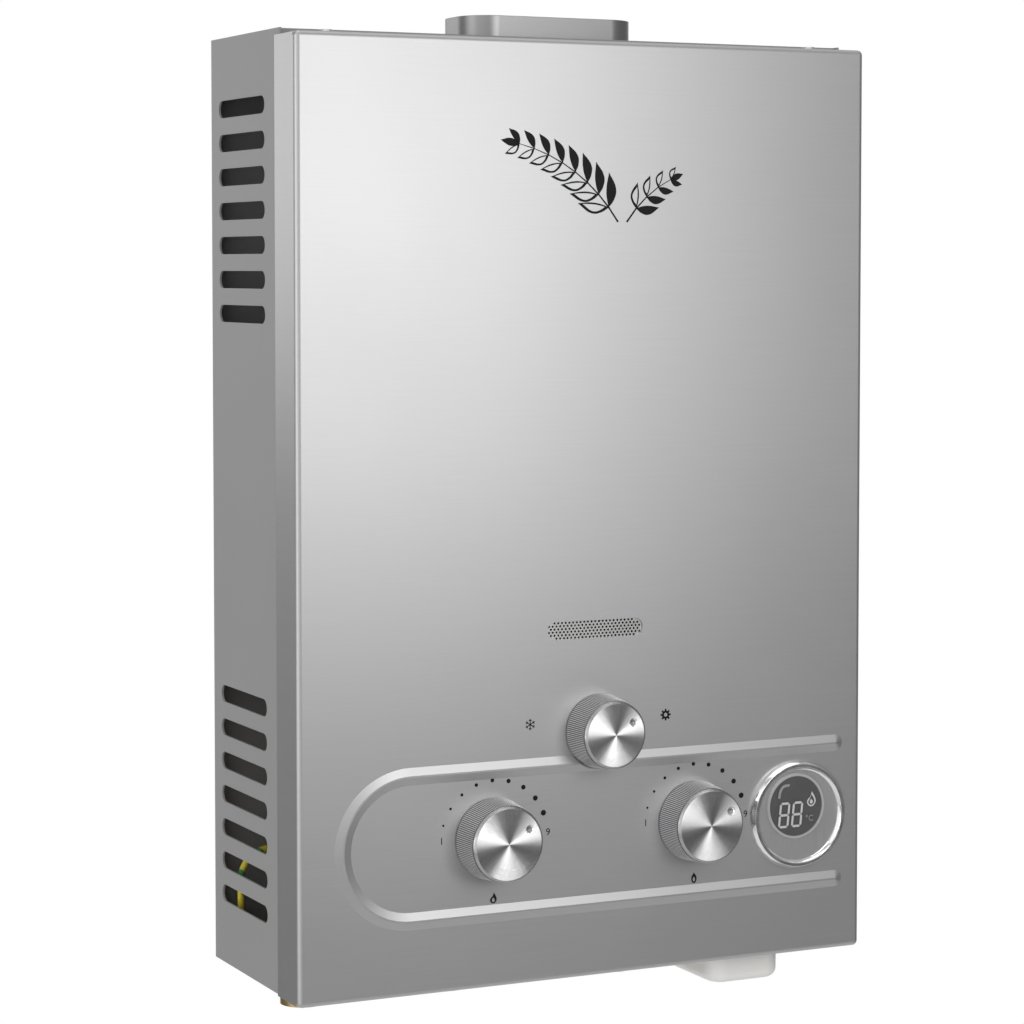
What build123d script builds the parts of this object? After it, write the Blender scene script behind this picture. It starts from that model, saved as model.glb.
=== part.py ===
from build123d import *
import math
import os

# A wall-hung tankless gas water heater, in millimetres.
# X is to the right, Y goes back into the wall and Z is up.
# The origin is on the wall plane, at the centre of the back plate and at the cover's mid height.

# Front cover
COVER_W = 290.0
COVER_H = 430.0
BODY_D = 109.0
COVER_SHEET = 0.8
FLANGE_D = 25.0
BEND_R = 2.5
CORNER_NOTCH = 2.6
CORNER_GAP = 0.6
CORNER_START = 0.8

# Rear case
CASE_SHEET = 1.0
CASE_SLIP = 0.2
CASE_TUCK = 4.0
TOP_STEP = 2.6
TOP_LIP_GAP = 0.4
TAB_D = 14.0
SIDE_TAB_H = 10.0
SLOT_L = 59.0
SLOT_H = 8.0
SLOT_PITCH = 15.7
SLOT_COUNT = 7
SLOT_Y = -39.5
UPPER_SLOT_Z = 184.8
LOWER_SLOT_Z = -87.0
WALL_HOLE_X = 130.0
WALL_HOLE_Z = 204.0
WALL_HOLE_R = 3.0
KEYHOLE_Z = 196.0
KEYHOLE_R = 5.5
KEYHOLE_SLOT_R = 2.75
KEYHOLE_RISE = 10.0

# Raised bead round the controls, a U on its side that is open to the right
BEAD_W = 8.0
BEAD_H = 1.2
BEAD_CREST = 0.8
BEAD_FOOT = 0.3
BEAD_TOP_Z = -115.5
BEAD_BOTTOM_Z = -181.0
BEAD_ARC_X = -91.0
BEAD_END_X = 130.8

# Screws
SCREW_R = 2.0
SCREW_HEAD_R = 3.6
SCREW_HEAD_H = 1.8
SCREW_L = 8.0
SCREW_CLEAR = 0.2
COVER_SCREW_X = 124.0
COVER_SCREW_INSET = 16.0

# Knobs
ROW_Z = -146.7
GAS_X = -50.0
WATER_X = 54.0
SEASON_X = 4.0
SEASON_Z = -101.0
KNOB_PROUD = 17.0
KNOB_GAP = 0.4
KNOB_BASE_R = 18.9
KNOB_TOP_R = 17.6
SEASON_BASE_R = 17.3
SEASON_TOP_R = 15.9
KNOB_WALL = 2.0
KNOB_HUB_R = 6.0
KNURL_PITCH = 0.95
KNURL_DEPTH = 0.35
SEAT_MARGIN = 0.6
CAP_T = 2.0
CAP_CHAMFER = 1.1
DIMPLE_OFFSET = 12.0
DIMPLE_ANGLE = 31.0
DIMPLE_BALL_R = 2.0
DIMPLE_BALL_OUT = 0.9
SPINDLE_R = 3.0
SPINDLE_FLAT = 2.2
SPINDLE_GRIP = 11.0
SPINDLE_HOLE_R = 6.0
RUN_FIT = 0.05

# Display
DISPLAY_X = 109.8
DISPLAY_Z = -148.3
BEZEL_R = 26.0
BEZEL_PROUD = 3.4
BEZEL_RIM = 3.0
BEZEL_EDGE = 1.6
BEZEL_SLOPE = 1.4
DIAL_R = 21.6
DIAL_SET = 1.6
DIAL_T = 1.0
WINDOW_R = 14.6
WINDOW_DX = -1.8
WINDOW_DZ = 4.4
WINDOW_T = 1.2
WINDOW_RING = 1.1
HOUSING_D = 9.5
HOUSING_WALL = 1.4
HOUSING_FIT = 0.2
BOARD_T = 1.6
BOARD_GAP = 0.5
LCD_W = 20.0
LCD_H = 16.0

# Sight window in front of the flames
SIGHT_X = 1.8
SIGHT_Z = -54.0
SIGHT_L = 49.3
SIGHT_H = 8.2
GRILLE_LAP = 1.6
GRILLE_T = 0.5
GRILLE_PITCH = 1.9
GRILLE_ROW_PITCH = 1.4
GRILLE_ROWS = 6
GRILLE_COLUMNS = 25
GRILLE_HOLE_R = 0.52
GLASS_T = 0.6
GLASS_LAP = 4.0

# Flue
COLLAR_W = 88.0
COLLAR_D = 40.0
COLLAR_R = 15.0
COLLAR_Y = -52.0
COLLAR_WALL = 1.0
COLLAR_RISE = 10.5
COLLAR_LAP = 6.0
HOOD_WALL = 1.0
HOOD_FIT = 0.2
HOOD_SKIRT = 22.0
HOOD_LAP = 6.0
HOOD_NECK = 18.0

# Heat exchanger and burner
CHAMBER_W = 170.0
CHAMBER_D = 64.0
CHAMBER_Y = -54.0
CHAMBER_TOP = 78.0
CHAMBER_BOTTOM = -66.0
CHAMBER_WALL = 0.8
CHAMBER_R = 3.0
TUBE_R = 5.5
TUBE_WALL = 0.8
TUBE_HOLE_GAP = 0.1
NUT_WALL = 2.5
NUT_HALF_H = 4.5
PASS_Z = 59.0
PASS_PITCH = 15.0
BEND_OUT = 3.0
COIL_GAP = 1.0
COIL_LOW_Z = 0.0
COIL_RISE = 20.0
COIL_BEND_R = 10.0
COIL_JOINT_Z = -116.0
FIN_COUNT = 45
FIN_PITCH = 3.6
FIN_T = 0.6
FIN_H = 30.0
FIN_GAP = 0.5
BRACKET_X = 60.0
BRACKET_W = 14.0
BRACKET_T = 1.5
BRACKET_FOOT = 9.0
BRACKET_Z = (38.0, -40.0)
BURNER_WALL = 1.0
BURNER_LEDGE = 6.0
BLADE_COUNT = 8
BLADE_PITCH = 20.0
BLADE_T = 8.0
BLADE_H = 20.0
BLADE_DROP = 2.0
BLADE_END_GAP = 2.0
BLADE_WEB = 3.0
VENTURI_R = 6.0
VENTURI_BORE = 4.5
VENTURI_MOUTH_Y = -72.0
PORT_COUNT = 12
PORT_W = 1.2
PORT_DEPTH = 6.0
PORT_WALL = 1.0
VENTURI_END = 3.0
MANIFOLD_D = 10.0
MANIFOLD_H = 12.0
MANIFOLD_BORE = 3.5
MANIFOLD_END = 8.0
MANIFOLD_WALL = 3.0
INJECTOR_R = 3.0
INJECTOR_L = 6.0
INJECTOR_BORE = 0.6
INJECTOR_GAP = 2.0
RISER_R = 6.5
RISER_FLANGE_W = 22.0
RISER_FLANGE_D = 20.0
RISER_FLANGE_T = 3.0

# Valves
VALVE_FRONT_Y = -96.0
VALVE_BACK_Y = -44.0
VALVE_HALF_W = 22.0
VALVE_BOTTOM_Z = -169.0
VALVE_TOP_Z = -125.0
VALVE_EDGE_R = 4.0
PLUG_END_GAP = 0.5
PLUG_R = 8.0
PLUG_BACK_Y = -70.0
PLUG_L = 18.0
CAP_PLATE_T = 2.0
CAP_PLATE_HALF = 15.0
CAP_SCREW_OFFSET = 11.5
CAP_PLATE_R = 2.0
SEASON_HALF = 13.0
SEASON_FRONT_Y = -103.0
SEASON_PLUG_R = 6.0
SEASON_PLUG_L = 8.0
SEASON_EDGE_R = 3.0
SEASON_WALL = 1.0
ROD_Y = -58.0
ROD_R = 2.0
ROD_LEFT_X = -40.0
ROD_COLLAR_X = -16.0
ROD_COLLAR_R = 5.0
ROD_COLLAR_T = 2.0
ROD_TRAVEL = 3.0
DISC_R = 26.0
DISC_LEFT_X = 0.0
DISC_SPLIT_X = 12.0
DIAPHRAGM_T = 1.5
DISC_T = 11.0
DISC_CAVITY_R = 19.0
DISC_WALL = 4.0
PISTON_R = 16.0
PISTON_T = 2.0
DISC_SCREW_R = 22.5
DISC_SCREW_COUNT = 6
DISC_SCREW_DEPTH = 6.0
DISC_END_GAP = 1.0
GUIDE_R = 5.0
GUIDE_L = 4.0
PISTON_GAP = 0.3
WATER_BLOCK_RIGHT = 71.0
SOLENOID_R = 12.0
SOLENOID_L = 26.0
PLUNGER_R = 4.0
PLUNGER_REST = 11.5
PLUNGER_TRAVEL = 2.5
PLUNGER_END_GAP = 1.0
SOLENOID_WALL = 2.0
SOLENOID_FLANGE = 28.0
SEAT_R = 7.0
SEAT_T = 2.0
SEAT_BORE_R = 9.0
SEAT_BORE_L = 13.0
SWITCH_SIZE = (20.0, 8.0, 12.0)
SWITCH_STRIP_T = 1.5
SWITCH_EAR_T = 1.2
SWITCH_EAR_HALF = 2.5
LEVER_HALF_W = 2.0
LEVER_LOW_GAP = 0.6
SWITCH_X = -14.0
LEVER_PIVOT_X = -18.5
LEVER_ARM = 12.0
LEVER_T = 1.0
LEVER_GAP = 0.3
LEVER_PIN_R = 1.0

# Pipe fittings with half-inch pipe threads
PORT_Y = -56.0
THREAD_R = 10.48
THREAD_L = 10.5
THREAD_DROP = 0.5
SHANK_R = 10.0
FITTING_BORE_R = 6.5
HEX_AF = 24.0
HEX_H = 8.0
NECK_R = 9.0
COLD_X = 38.0
HOT_INSET = 22.0
GROMMET_R = 13.5
GROMMET_T = 2.0
HOT_FITTING_RISE = 33.2
RELIEF_R = 6.0
RELIEF_L = 20.0
RELIEF_HEX = 14.0
RELIEF_HEX_H = 6.0
RELIEF_HEX_OUT = 4.0
RELIEF_DROP = 12.0
HOT_CAP_BELOW = 8.0
HOT_CAP_ABOVE = 4.0

# Battery compartment for two large round cells
CELL_R = 17.1
CELL_L = 61.5
CELL_GAP = 0.8
NUB_R = 4.5
NUB_H = 1.2
BATTERY_X = 91.3
BATTERY_FRONT_Y = -95.0
BATTERY_DROP = 15.0
BATTERY_BAY_GAP = 1.0
BATTERY_WALL = 1.6
TRAY_CORNER_R = 9.0
TRAY_EDGE_R = 4.5
TRAY_GAP = 0.2
TRAY_CONTACT = 1.5
BOX_FLANGE = 3.0
BOX_FLANGE_T = 1.5
HINGE_INSET = 3.0
HINGE_DROP = 4.0
HINGE_PIN_R = 1.2
HINGE_EAR_T = 3.5
HINGE_EAR_R = 3.2
HINGE_SIDE_GAP = 0.3
KNUCKLE_R = 2.6
REAR_WALL_GAP = 1.0
BOX_EDGE_R = 3.0
CAVITY_EDGE_R = 2.0

# Ignition and wiring
IGNITER_W = 74.0
IGNITER_D = 26.0
IGNITER_H = 44.0
IGNITER_X = -6.0
IGNITER_TOP_Z = -142.0
IGNITER_R = 3.0
ELECTRODE_X = 40.0
ELECTRODE_Z = -60.0
CERAMIC_R = 3.0
CERAMIC_COLLAR_R = 5.0
CERAMIC_COLLAR_T = 2.0
CERAMIC_FRONT = 9.0
CERAMIC_BACK = 6.0
NEEDLE_R = 1.0
NEEDLE_L = 14.0
LEAD_R = 1.5
LEAD_BEND_R = 4.0
LEAD_FRONT_GAP = 3.2
LEAD_SHELF_Z = -115.0
EARTH_R = 1.6
EARTH_INSET = 8.0
EARTH_Y = -20.0
EARTH_BEND_R = 14.0
EARTH_TOP_Z = -162.0
EARTH_SCREW_L = 4.0
LUG_R = 4.2
LUG_T = 0.8
LUG_W = 3.6
LUG_REACH = 7.0
THERMOSTAT_R = 8.0
THERMOSTAT_T = 6.0
THERMOSTAT_X = -55.0
THERMOSTAT_Z = -26.0
THERMOSTAT_EAR = 4.0
THERMOSTAT_EAR_T = 1.0
TERMINAL_X = 3.5
TERMINAL_W = 3.0
TERMINAL_T = 0.8
TERMINAL_L = 6.0

# Planes and edges that follow from the sizes above
FRONT_Y = -BODY_D
COVER_IN_Y = FRONT_Y + COVER_SHEET
COVER_BACK_Y = FRONT_Y + FLANGE_D
COVER_TOP = COVER_H / 2
COVER_BOTTOM = -COVER_H / 2
CASE_X = COVER_W / 2 - COVER_SHEET - CASE_SLIP
CASE_IN_X = CASE_X - CASE_SHEET
CASE_TOP = COVER_TOP + TOP_STEP
CASE_BOTTOM = COVER_BOTTOM + COVER_SHEET
FLOOR_Z = CASE_BOTTOM + CASE_SHEET
HOT_X = HOT_INSET - CASE_X
HOT_FITTING_TOP = FLOOR_Z + HOT_FITTING_RISE
EARTH_X = EARTH_INSET - CASE_X
SIDE_FRONT_Y = COVER_BACK_Y - CASE_TUCK
COVER_SCREW_Y = FRONT_Y + COVER_SCREW_INSET
TAB_Z = COVER_TOP - COVER_SHEET
CHAMBER_FRONT_Y = CHAMBER_Y - CHAMBER_D / 2
CHAMBER_BACK_Y = CHAMBER_Y + CHAMBER_D / 2
BLADE_TOP = CHAMBER_BOTTOM - BLADE_DROP
BLADE_BOTTOM = BLADE_TOP - BLADE_H
VENTURI_Z = SEASON_Z
MANIFOLD_FRONT_Y = VENTURI_MOUTH_Y - INJECTOR_L - MANIFOLD_D
MANIFOLD_BACK_Y = MANIFOLD_FRONT_Y + MANIFOLD_D
MANIFOLD_Y = MANIFOLD_FRONT_Y + MANIFOLD_D / 2
BATTERY_D = 4 * CELL_R + 3 * CELL_GAP + 2 * BATTERY_WALL
BATTERY_W = 2 * CELL_R + 2 * CELL_GAP + 2 * BATTERY_WALL
BATTERY_BACK_Y = BATTERY_FRONT_Y + BATTERY_D
TRAY_BOTTOM = COVER_BOTTOM - BATTERY_DROP
CELL_BOTTOM = TRAY_BOTTOM + BATTERY_WALL + TRAY_CONTACT
BOX_TOP = CELL_BOTTOM + CELL_L + NUB_H + BATTERY_WALL
HINGE_Y = BATTERY_BACK_Y - HINGE_INSET
HINGE_Z = CASE_BOTTOM - HINGE_DROP
SWITCH_BOTTOM_Z = ROW_Z + LEVER_ARM


def block(x, y, z):
    """A box from the low to the high value on each axis."""
    size = (x[1] - x[0], y[1] - y[0], z[1] - z[0])
    corner = (Align.MIN, Align.MIN, Align.MIN)
    return Pos(x[0], y[0], z[0]) * Box(*size, align=corner)


def rod(start, end, radius):
    """A round bar between two points."""
    axis = Vector(*end) - Vector(*start)
    base = (Align.CENTER, Align.CENTER, Align.MIN)
    return Plane(origin=start, z_dir=axis) * Cylinder(radius, axis.length, align=base)


def hollow_rod(start, end, radius, bore):
    """A round tube between two points."""
    return rod(start, end, radius) - rod(start, end, bore)


def facing(x, z, y):
    """A plane that is seen from the front: right is right, up is up and its normal comes forward."""
    return Plane(origin=(x, y, z), x_dir=(1, 0, 0), z_dir=(0, -1, 0))


def turned(plane, profile):
    """A solid turned about a plane's normal, from (radius, height) points."""
    half = make_face(Plane.XZ * Polyline(*profile, close=True))
    return plane * revolve(half, axis=Axis.Z)


def upright(sketch, x, y, z, height):
    """A flat shape laid level at a height and raised from there."""
    return extrude(Pos(x, y, z) * sketch, amount=height)


def hexagon(x, y, z, across_flats, height):
    """An upright hexagonal prism."""
    radius = across_flats / 2 / math.cos(math.pi / 6)
    return upright(RegularPolygon(radius, 6), x, y, z, height)


def pipe(points, bend_radius, radius, bore=0.0):
    """A round tube along straight runs joined by arcs; a bore of zero leaves it solid."""
    path = FilletPolyline(*points, radius=bend_radius)
    start = Plane(origin=path @ 0, z_dir=path % 0)
    tube = sweep(start * Circle(radius), path=path)
    if bore > 0:
        tube -= sweep(start * Circle(bore), path=path)
    return tube


def screw(point, direction, length=SCREW_L):
    """A pan-head screw; the point is under its head and the shank follows the direction."""
    plane = Plane(origin=point, z_dir=direction)
    profile = [(0, length), (SCREW_R, length), (SCREW_R, 0), (SCREW_HEAD_R, 0)]
    profile += [(SCREW_HEAD_R, -SCREW_HEAD_H * 0.5), (SCREW_HEAD_R - 0.8, -SCREW_HEAD_H)]
    profile += [(0, -SCREW_HEAD_H)]
    body = turned(plane, profile)
    slot = plane * Pos(0, 0, -SCREW_HEAD_H) * Box(2 * SCREW_HEAD_R, 0.9, 1.6)
    return body - slot


def bead(set_back, foot):
    """The bead's ridge as a solid, moved back from the front face and with a straight foot.

    It stops at a flat seat under the season knob, which hides the ends.
    """
    front = facing(0, 0, FRONT_Y + set_back)
    middle_z = (BEAD_TOP_Z + BEAD_BOTTOM_Z) / 2
    radius = (BEAD_TOP_Z - BEAD_BOTTOM_Z) / 2
    top = Line((BEAD_END_X, BEAD_TOP_Z), (BEAD_ARC_X, BEAD_TOP_Z))
    turn = CenterArc((BEAD_ARC_X, middle_z), radius, 90, 180)
    bottom = Line((BEAD_ARC_X, BEAD_BOTTOM_Z), (BEAD_END_X, BEAD_BOTTOM_Z))
    path = front * Wire([top.edge(), turn.edge(), bottom.edge()])
    half = BEAD_W / 2
    crest = BEAD_CREST / 2
    outline = [(-half, -foot), (-half, 0), (-crest, BEAD_H), (crest, BEAD_H), (half, 0), (half, -foot)]
    start = (BEAD_END_X, FRONT_Y + set_back, BEAD_TOP_Z)
    section = Plane(origin=start, x_dir=(0, 0, 1), z_dir=(1, 0, 0))
    ridge = sweep(section * make_face(Polyline(*outline, close=True)), path=path)
    for z in (BEAD_TOP_Z, BEAD_BOTTOM_Z):
        end = facing(BEAD_END_X, z, FRONT_Y + set_back)
        ridge += turned(end, [(0, -foot), (half, -foot), (half, 0), (crest, BEAD_H), (0, BEAD_H)])
    seat_r = SEASON_BASE_R + SEAT_MARGIN
    return ridge - rod((SEASON_X, 0, SEASON_Z), (SEASON_X, 2 * FRONT_Y, SEASON_Z), seat_r)


def cover_shell(inset):
    """The cover's outer or inner form, drawn with bent edges."""
    x = COVER_W / 2 - inset
    z = COVER_H / 2 - inset
    radius = BEND_R - inset
    form = block((-x, x), (FRONT_Y + inset, COVER_BACK_Y + inset), (-z, z))
    form = fillet(form.edges().filter_by(Axis.Y), radius)
    return fillet(form.faces().sort_by(Axis.Y)[0].edges(), radius)


def front_cover():
    """The front cover: one bent sheet with four flanges, a raised bead and the control holes."""
    cover = cover_shell(0) - cover_shell(COVER_SHEET)
    notch_y = (FRONT_Y + BEND_R + CORNER_START, COVER_BACK_Y + 1)
    tongue_y = (notch_y[0], COVER_BACK_Y)
    for side in (-1, 1):
        for end in (-1, 1):
            x = sorted((side * (COVER_W / 2 - CORNER_NOTCH), side * (COVER_W / 2 + 1)))
            z = sorted((end * (COVER_H / 2 - CORNER_NOTCH), end * (COVER_H / 2 + 1)))
            cover -= block(x, notch_y, z)
            x = sorted((side * (COVER_W / 2 - COVER_SHEET), side * COVER_W / 2))
            z = sorted((end * (COVER_H / 2 - CORNER_NOTCH), end * (COVER_H / 2 - CORNER_GAP)))
            cover += block(x, tongue_y, z)
    cover += bead(0, BEAD_FOOT)
    cover -= bead(COVER_SHEET, 2 * COVER_SHEET)
    through = COVER_SHEET + 1
    holes = facing(0, 0, COVER_IN_Y + 0.5)
    for x, z in ((GAS_X, ROW_Z), (WATER_X, ROW_Z), (SEASON_X, SEASON_Z)):
        cover -= extrude(holes * Pos(x, z) * Circle(SPINDLE_HOLE_R), amount=through)
    display_hole = Circle(DIAL_R + HOUSING_WALL + HOUSING_FIT)
    cover -= extrude(holes * Pos(DISPLAY_X, DISPLAY_Z) * display_hole, amount=through)
    cover -= extrude(holes * Pos(SIGHT_X, SIGHT_Z) * SlotOverall(SIGHT_L, SIGHT_H), amount=through)
    for x in (-COVER_SCREW_X, COVER_SCREW_X):
        ends = ((x, COVER_SCREW_Y, -COVER_H), (x, COVER_SCREW_Y, COVER_H))
        cover -= rod(*ends, SCREW_R + SCREW_CLEAR)
    bay = BATTERY_W / 2 + BATTERY_BAY_GAP
    cover -= block((BATTERY_X - bay, BATTERY_X + bay), (BATTERY_FRONT_Y - BATTERY_BAY_GAP, 0),
                   (COVER_BOTTOM - 1, COVER_BOTTOM + 2 * COVER_SHEET))
    return cover


def side_slots():
    """The vent slots of both side walls as one cutting solid, set in two groups."""
    cutter = None
    for start_z in (UPPER_SLOT_Z, LOWER_SLOT_Z):
        for row in range(SLOT_COUNT):
            slot = Plane.YZ * Pos(SLOT_Y, start_z - row * SLOT_PITCH) * SlotOverall(SLOT_L, SLOT_H)
            bar = extrude(slot, amount=CASE_X + 1, both=True)
            cutter = bar if cutter is None else cutter + bar
    return cutter


def rear_case():
    """The rear case: the back plate and both side walls, bent from one sheet."""
    case = block((-CASE_X, CASE_X), (SIDE_FRONT_Y, 0), (CASE_BOTTOM, CASE_TOP))
    case -= block((-CASE_IN_X, CASE_IN_X), (SIDE_FRONT_Y - 1, -CASE_SHEET), (-COVER_H, COVER_H))
    case -= side_slots()
    for x in (-WALL_HOLE_X, WALL_HOLE_X):
        for z in (-WALL_HOLE_Z, WALL_HOLE_Z):
            case -= rod((x, -2 * CASE_SHEET, z), (x, CASE_SHEET, z), WALL_HOLE_R)
    case -= rod((0, -2 * CASE_SHEET, KEYHOLE_Z), (0, CASE_SHEET, KEYHOLE_Z), KEYHOLE_R)
    slot = facing(0, KEYHOLE_Z + KEYHOLE_RISE / 2, CASE_SHEET)
    slot = slot * Rot(0, 0, 90) * SlotCenterToCenter(KEYHOLE_RISE, 2 * KEYHOLE_SLOT_R)
    return case - extrude(slot, amount=3 * CASE_SHEET)


def case_top_plate():
    """The top plate, stepped down at the front to a tab under the cover's top flange."""
    lip_y = COVER_BACK_Y + TOP_LIP_GAP
    low = TAB_Z - CASE_SHEET
    plate = block((-CASE_IN_X, CASE_IN_X), (lip_y, -CASE_SHEET), (CASE_TOP - CASE_SHEET, CASE_TOP))
    plate += block((-CASE_IN_X, CASE_IN_X), (lip_y, lip_y + CASE_SHEET), (low, CASE_TOP))
    plate += block((-CASE_IN_X, CASE_IN_X), (lip_y - TAB_D, lip_y + CASE_SHEET), (low, TAB_Z))
    for side in (-1, 1):
        x = sorted((side * CASE_IN_X, side * (CASE_IN_X - CASE_SHEET)))
        plate += block(x, (lip_y, -CASE_SHEET), (CASE_TOP - SIDE_TAB_H, CASE_TOP))
    hole = RectangleRounded(COLLAR_W, COLLAR_D, COLLAR_R)
    plate -= upright(hole, 0, COLLAR_Y, CASE_TOP - 2 * CASE_SHEET, 3 * CASE_SHEET)
    for x in (-COVER_SCREW_X, COVER_SCREW_X):
        plate -= rod((x, COVER_SCREW_Y, low - 1), (x, COVER_SCREW_Y, TAB_Z + 1), SCREW_R)
    return plate


def case_bottom_plate():
    """The bottom plate, with the holes for the pipe fittings and the battery compartment."""
    front = SIDE_FRONT_Y - TAB_D + CASE_TUCK
    plate = block((-CASE_IN_X, CASE_IN_X), (front, -CASE_SHEET), (CASE_BOTTOM, FLOOR_Z))
    for side in (-1, 1):
        x = sorted((side * CASE_IN_X, side * (CASE_IN_X - CASE_SHEET)))
        plate += block(x, (SIDE_FRONT_Y, -CASE_SHEET), (CASE_BOTTOM, CASE_BOTTOM + SIDE_TAB_H))
    z = (CASE_BOTTOM - 1, FLOOR_Z + 1)
    for x in (GAS_X, COLD_X, HOT_X):
        plate -= rod((x, PORT_Y, z[0]), (x, PORT_Y, z[1]), GROMMET_R - GROMMET_T)
    for x in (-COVER_SCREW_X, COVER_SCREW_X):
        plate -= rod((x, COVER_SCREW_Y, z[0]), (x, COVER_SCREW_Y, z[1]), SCREW_R)
    plate -= rod((EARTH_X, EARTH_Y, z[0]), (EARTH_X, EARTH_Y, z[1]), SCREW_R)
    half = BATTERY_W / 2 + TRAY_GAP
    plate -= block((BATTERY_X - half, BATTERY_X + half),
                   (BATTERY_FRONT_Y - TRAY_GAP, BATTERY_BACK_Y + TRAY_GAP), z)
    ear = BATTERY_W / 2 + HINGE_SIDE_GAP + HINGE_EAR_T + TRAY_GAP
    ear_y = HINGE_EAR_R + TRAY_GAP
    plate -= block((BATTERY_X - ear, BATTERY_X + ear), (HINGE_Y - ear_y, HINGE_Y + ear_y), z)
    return plate


def case_screws():
    """Four cover screws and the earth screw, all alike."""
    group = []
    for x in (-COVER_SCREW_X, COVER_SCREW_X):
        group.append(screw((x, COVER_SCREW_Y, COVER_TOP), (0, 0, -1)))
        group.append(screw((x, COVER_SCREW_Y, COVER_BOTTOM), (0, 0, 1)))
    group.append(screw((EARTH_X, EARTH_Y, FLOOR_Z + LUG_T), (0, 0, -1), EARTH_SCREW_L))
    return group


def sight_grille():
    """A perforated strip behind the cover's sight opening, with staggered round holes."""
    plane = facing(SIGHT_X, SIGHT_Z, COVER_IN_Y + GRILLE_T)
    strip = SlotOverall(SIGHT_L + 2 * GRILLE_LAP, SIGHT_H + 2 * GRILLE_LAP)
    reach = (SIGHT_L - SIGHT_H) / 2
    spots = []
    for row in range(GRILLE_ROWS):
        z = (row - (GRILLE_ROWS - 1) / 2) * GRILLE_ROW_PITCH
        shift = GRILLE_PITCH / 2 if row % 2 else 0.0
        for column in range(GRILLE_COLUMNS):
            x = (column - (GRILLE_COLUMNS - 1) / 2) * GRILLE_PITCH + shift - GRILLE_PITCH / 4
            beyond = max(abs(x) - reach, 0.0)
            if math.hypot(beyond, z) < SIGHT_H / 2 - GRILLE_HOLE_R:
                spots.append((x, z))
    strip -= [Pos(x, z) * Circle(GRILLE_HOLE_R) for x, z in spots]
    return extrude(plane * strip, amount=GRILLE_T)


def flue_collar():
    """The flue collar: a low rounded spigot through the top plate, with a flange under it."""
    base = CASE_TOP - CASE_SHEET - COLLAR_WALL
    outer = RectangleRounded(COLLAR_W, COLLAR_D, COLLAR_R)
    lap = 2 * COLLAR_LAP
    flange = RectangleRounded(COLLAR_W + lap, COLLAR_D + lap, COLLAR_R + COLLAR_LAP)
    inner = RectangleRounded(COLLAR_W - 2 * COLLAR_WALL, COLLAR_D - 2 * COLLAR_WALL, COLLAR_R - COLLAR_WALL)
    height = CASE_TOP + COLLAR_RISE - base
    collar = upright(outer, 0, COLLAR_Y, base, height)
    collar += upright(flange, 0, COLLAR_Y, base, COLLAR_WALL)
    return collar - upright(inner, 0, COLLAR_Y, base - 1, height + 2)


def hood_form(inset, overrun):
    """The hood's outer or inner form: a skirt, a taper and a neck."""
    wide = CHAMBER_W + 2 * (HOOD_FIT + HOOD_WALL) - 2 * inset
    deep = CHAMBER_D + 2 * (HOOD_FIT + HOOD_WALL) - 2 * inset
    neck_w = COLLAR_W - 2 * (COLLAR_WALL + HOOD_FIT) - 2 * inset
    neck_d = COLLAR_D - 2 * (COLLAR_WALL + HOOD_FIT) - 2 * inset
    skirt_r = CHAMBER_R + HOOD_FIT + HOOD_WALL - inset
    neck_r = COLLAR_R - COLLAR_WALL - HOOD_FIT - inset
    skirt_z = CHAMBER_TOP - HOOD_LAP
    taper_z = skirt_z + HOOD_SKIRT
    neck_z = CASE_TOP - HOOD_NECK
    skirt = RectangleRounded(wide, deep, skirt_r)
    neck = RectangleRounded(neck_w, neck_d, neck_r)
    form = upright(skirt, 0, CHAMBER_Y, skirt_z - overrun, HOOD_SKIRT + overrun)
    form += loft([Pos(0, CHAMBER_Y, taper_z) * skirt, Pos(0, COLLAR_Y, neck_z) * neck], ruled=True)
    return form + upright(neck, 0, COLLAR_Y, neck_z, HOOD_NECK + overrun)


def flue_hood():
    """The sheet hood that gathers the flue gas from the heat exchanger into the collar."""
    return hood_form(0, 0) - hood_form(HOOD_WALL, 1)


def pass_places():
    """The Y of each straight tube pass through the fins, from the front."""
    return [CHAMBER_Y + (index - 1.5) * PASS_PITCH for index in range(4)]


def combustion_chamber():
    """The chamber's four walls, open above and below, with the sight window and the tube holes."""
    height = CHAMBER_TOP - CHAMBER_BOTTOM
    outer = RectangleRounded(CHAMBER_W, CHAMBER_D, CHAMBER_R)
    thin = 2 * CHAMBER_WALL
    inner = RectangleRounded(CHAMBER_W - thin, CHAMBER_D - thin, CHAMBER_R - CHAMBER_WALL)
    chamber = upright(outer, 0, CHAMBER_Y, CHAMBER_BOTTOM, height)
    chamber -= upright(inner, 0, CHAMBER_Y, CHAMBER_BOTTOM - 1, height + 2)
    window = facing(SIGHT_X, SIGHT_Z, CHAMBER_FRONT_Y + 2) * SlotOverall(SIGHT_L, SIGHT_H)
    chamber -= extrude(window, amount=4)
    hole = TUBE_R + TUBE_HOLE_GAP
    for y in pass_places():
        chamber -= rod((-CHAMBER_W, y, PASS_Z), (CHAMBER_W, y, PASS_Z), hole)
    for x in (-ELECTRODE_X, ELECTRODE_X):
        ends = ((x, CHAMBER_FRONT_Y - 2, ELECTRODE_Z), (x, CHAMBER_FRONT_Y + 2, ELECTRODE_Z))
        chamber -= rod(*ends, CERAMIC_R + TUBE_HOLE_GAP)
    return chamber


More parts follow.
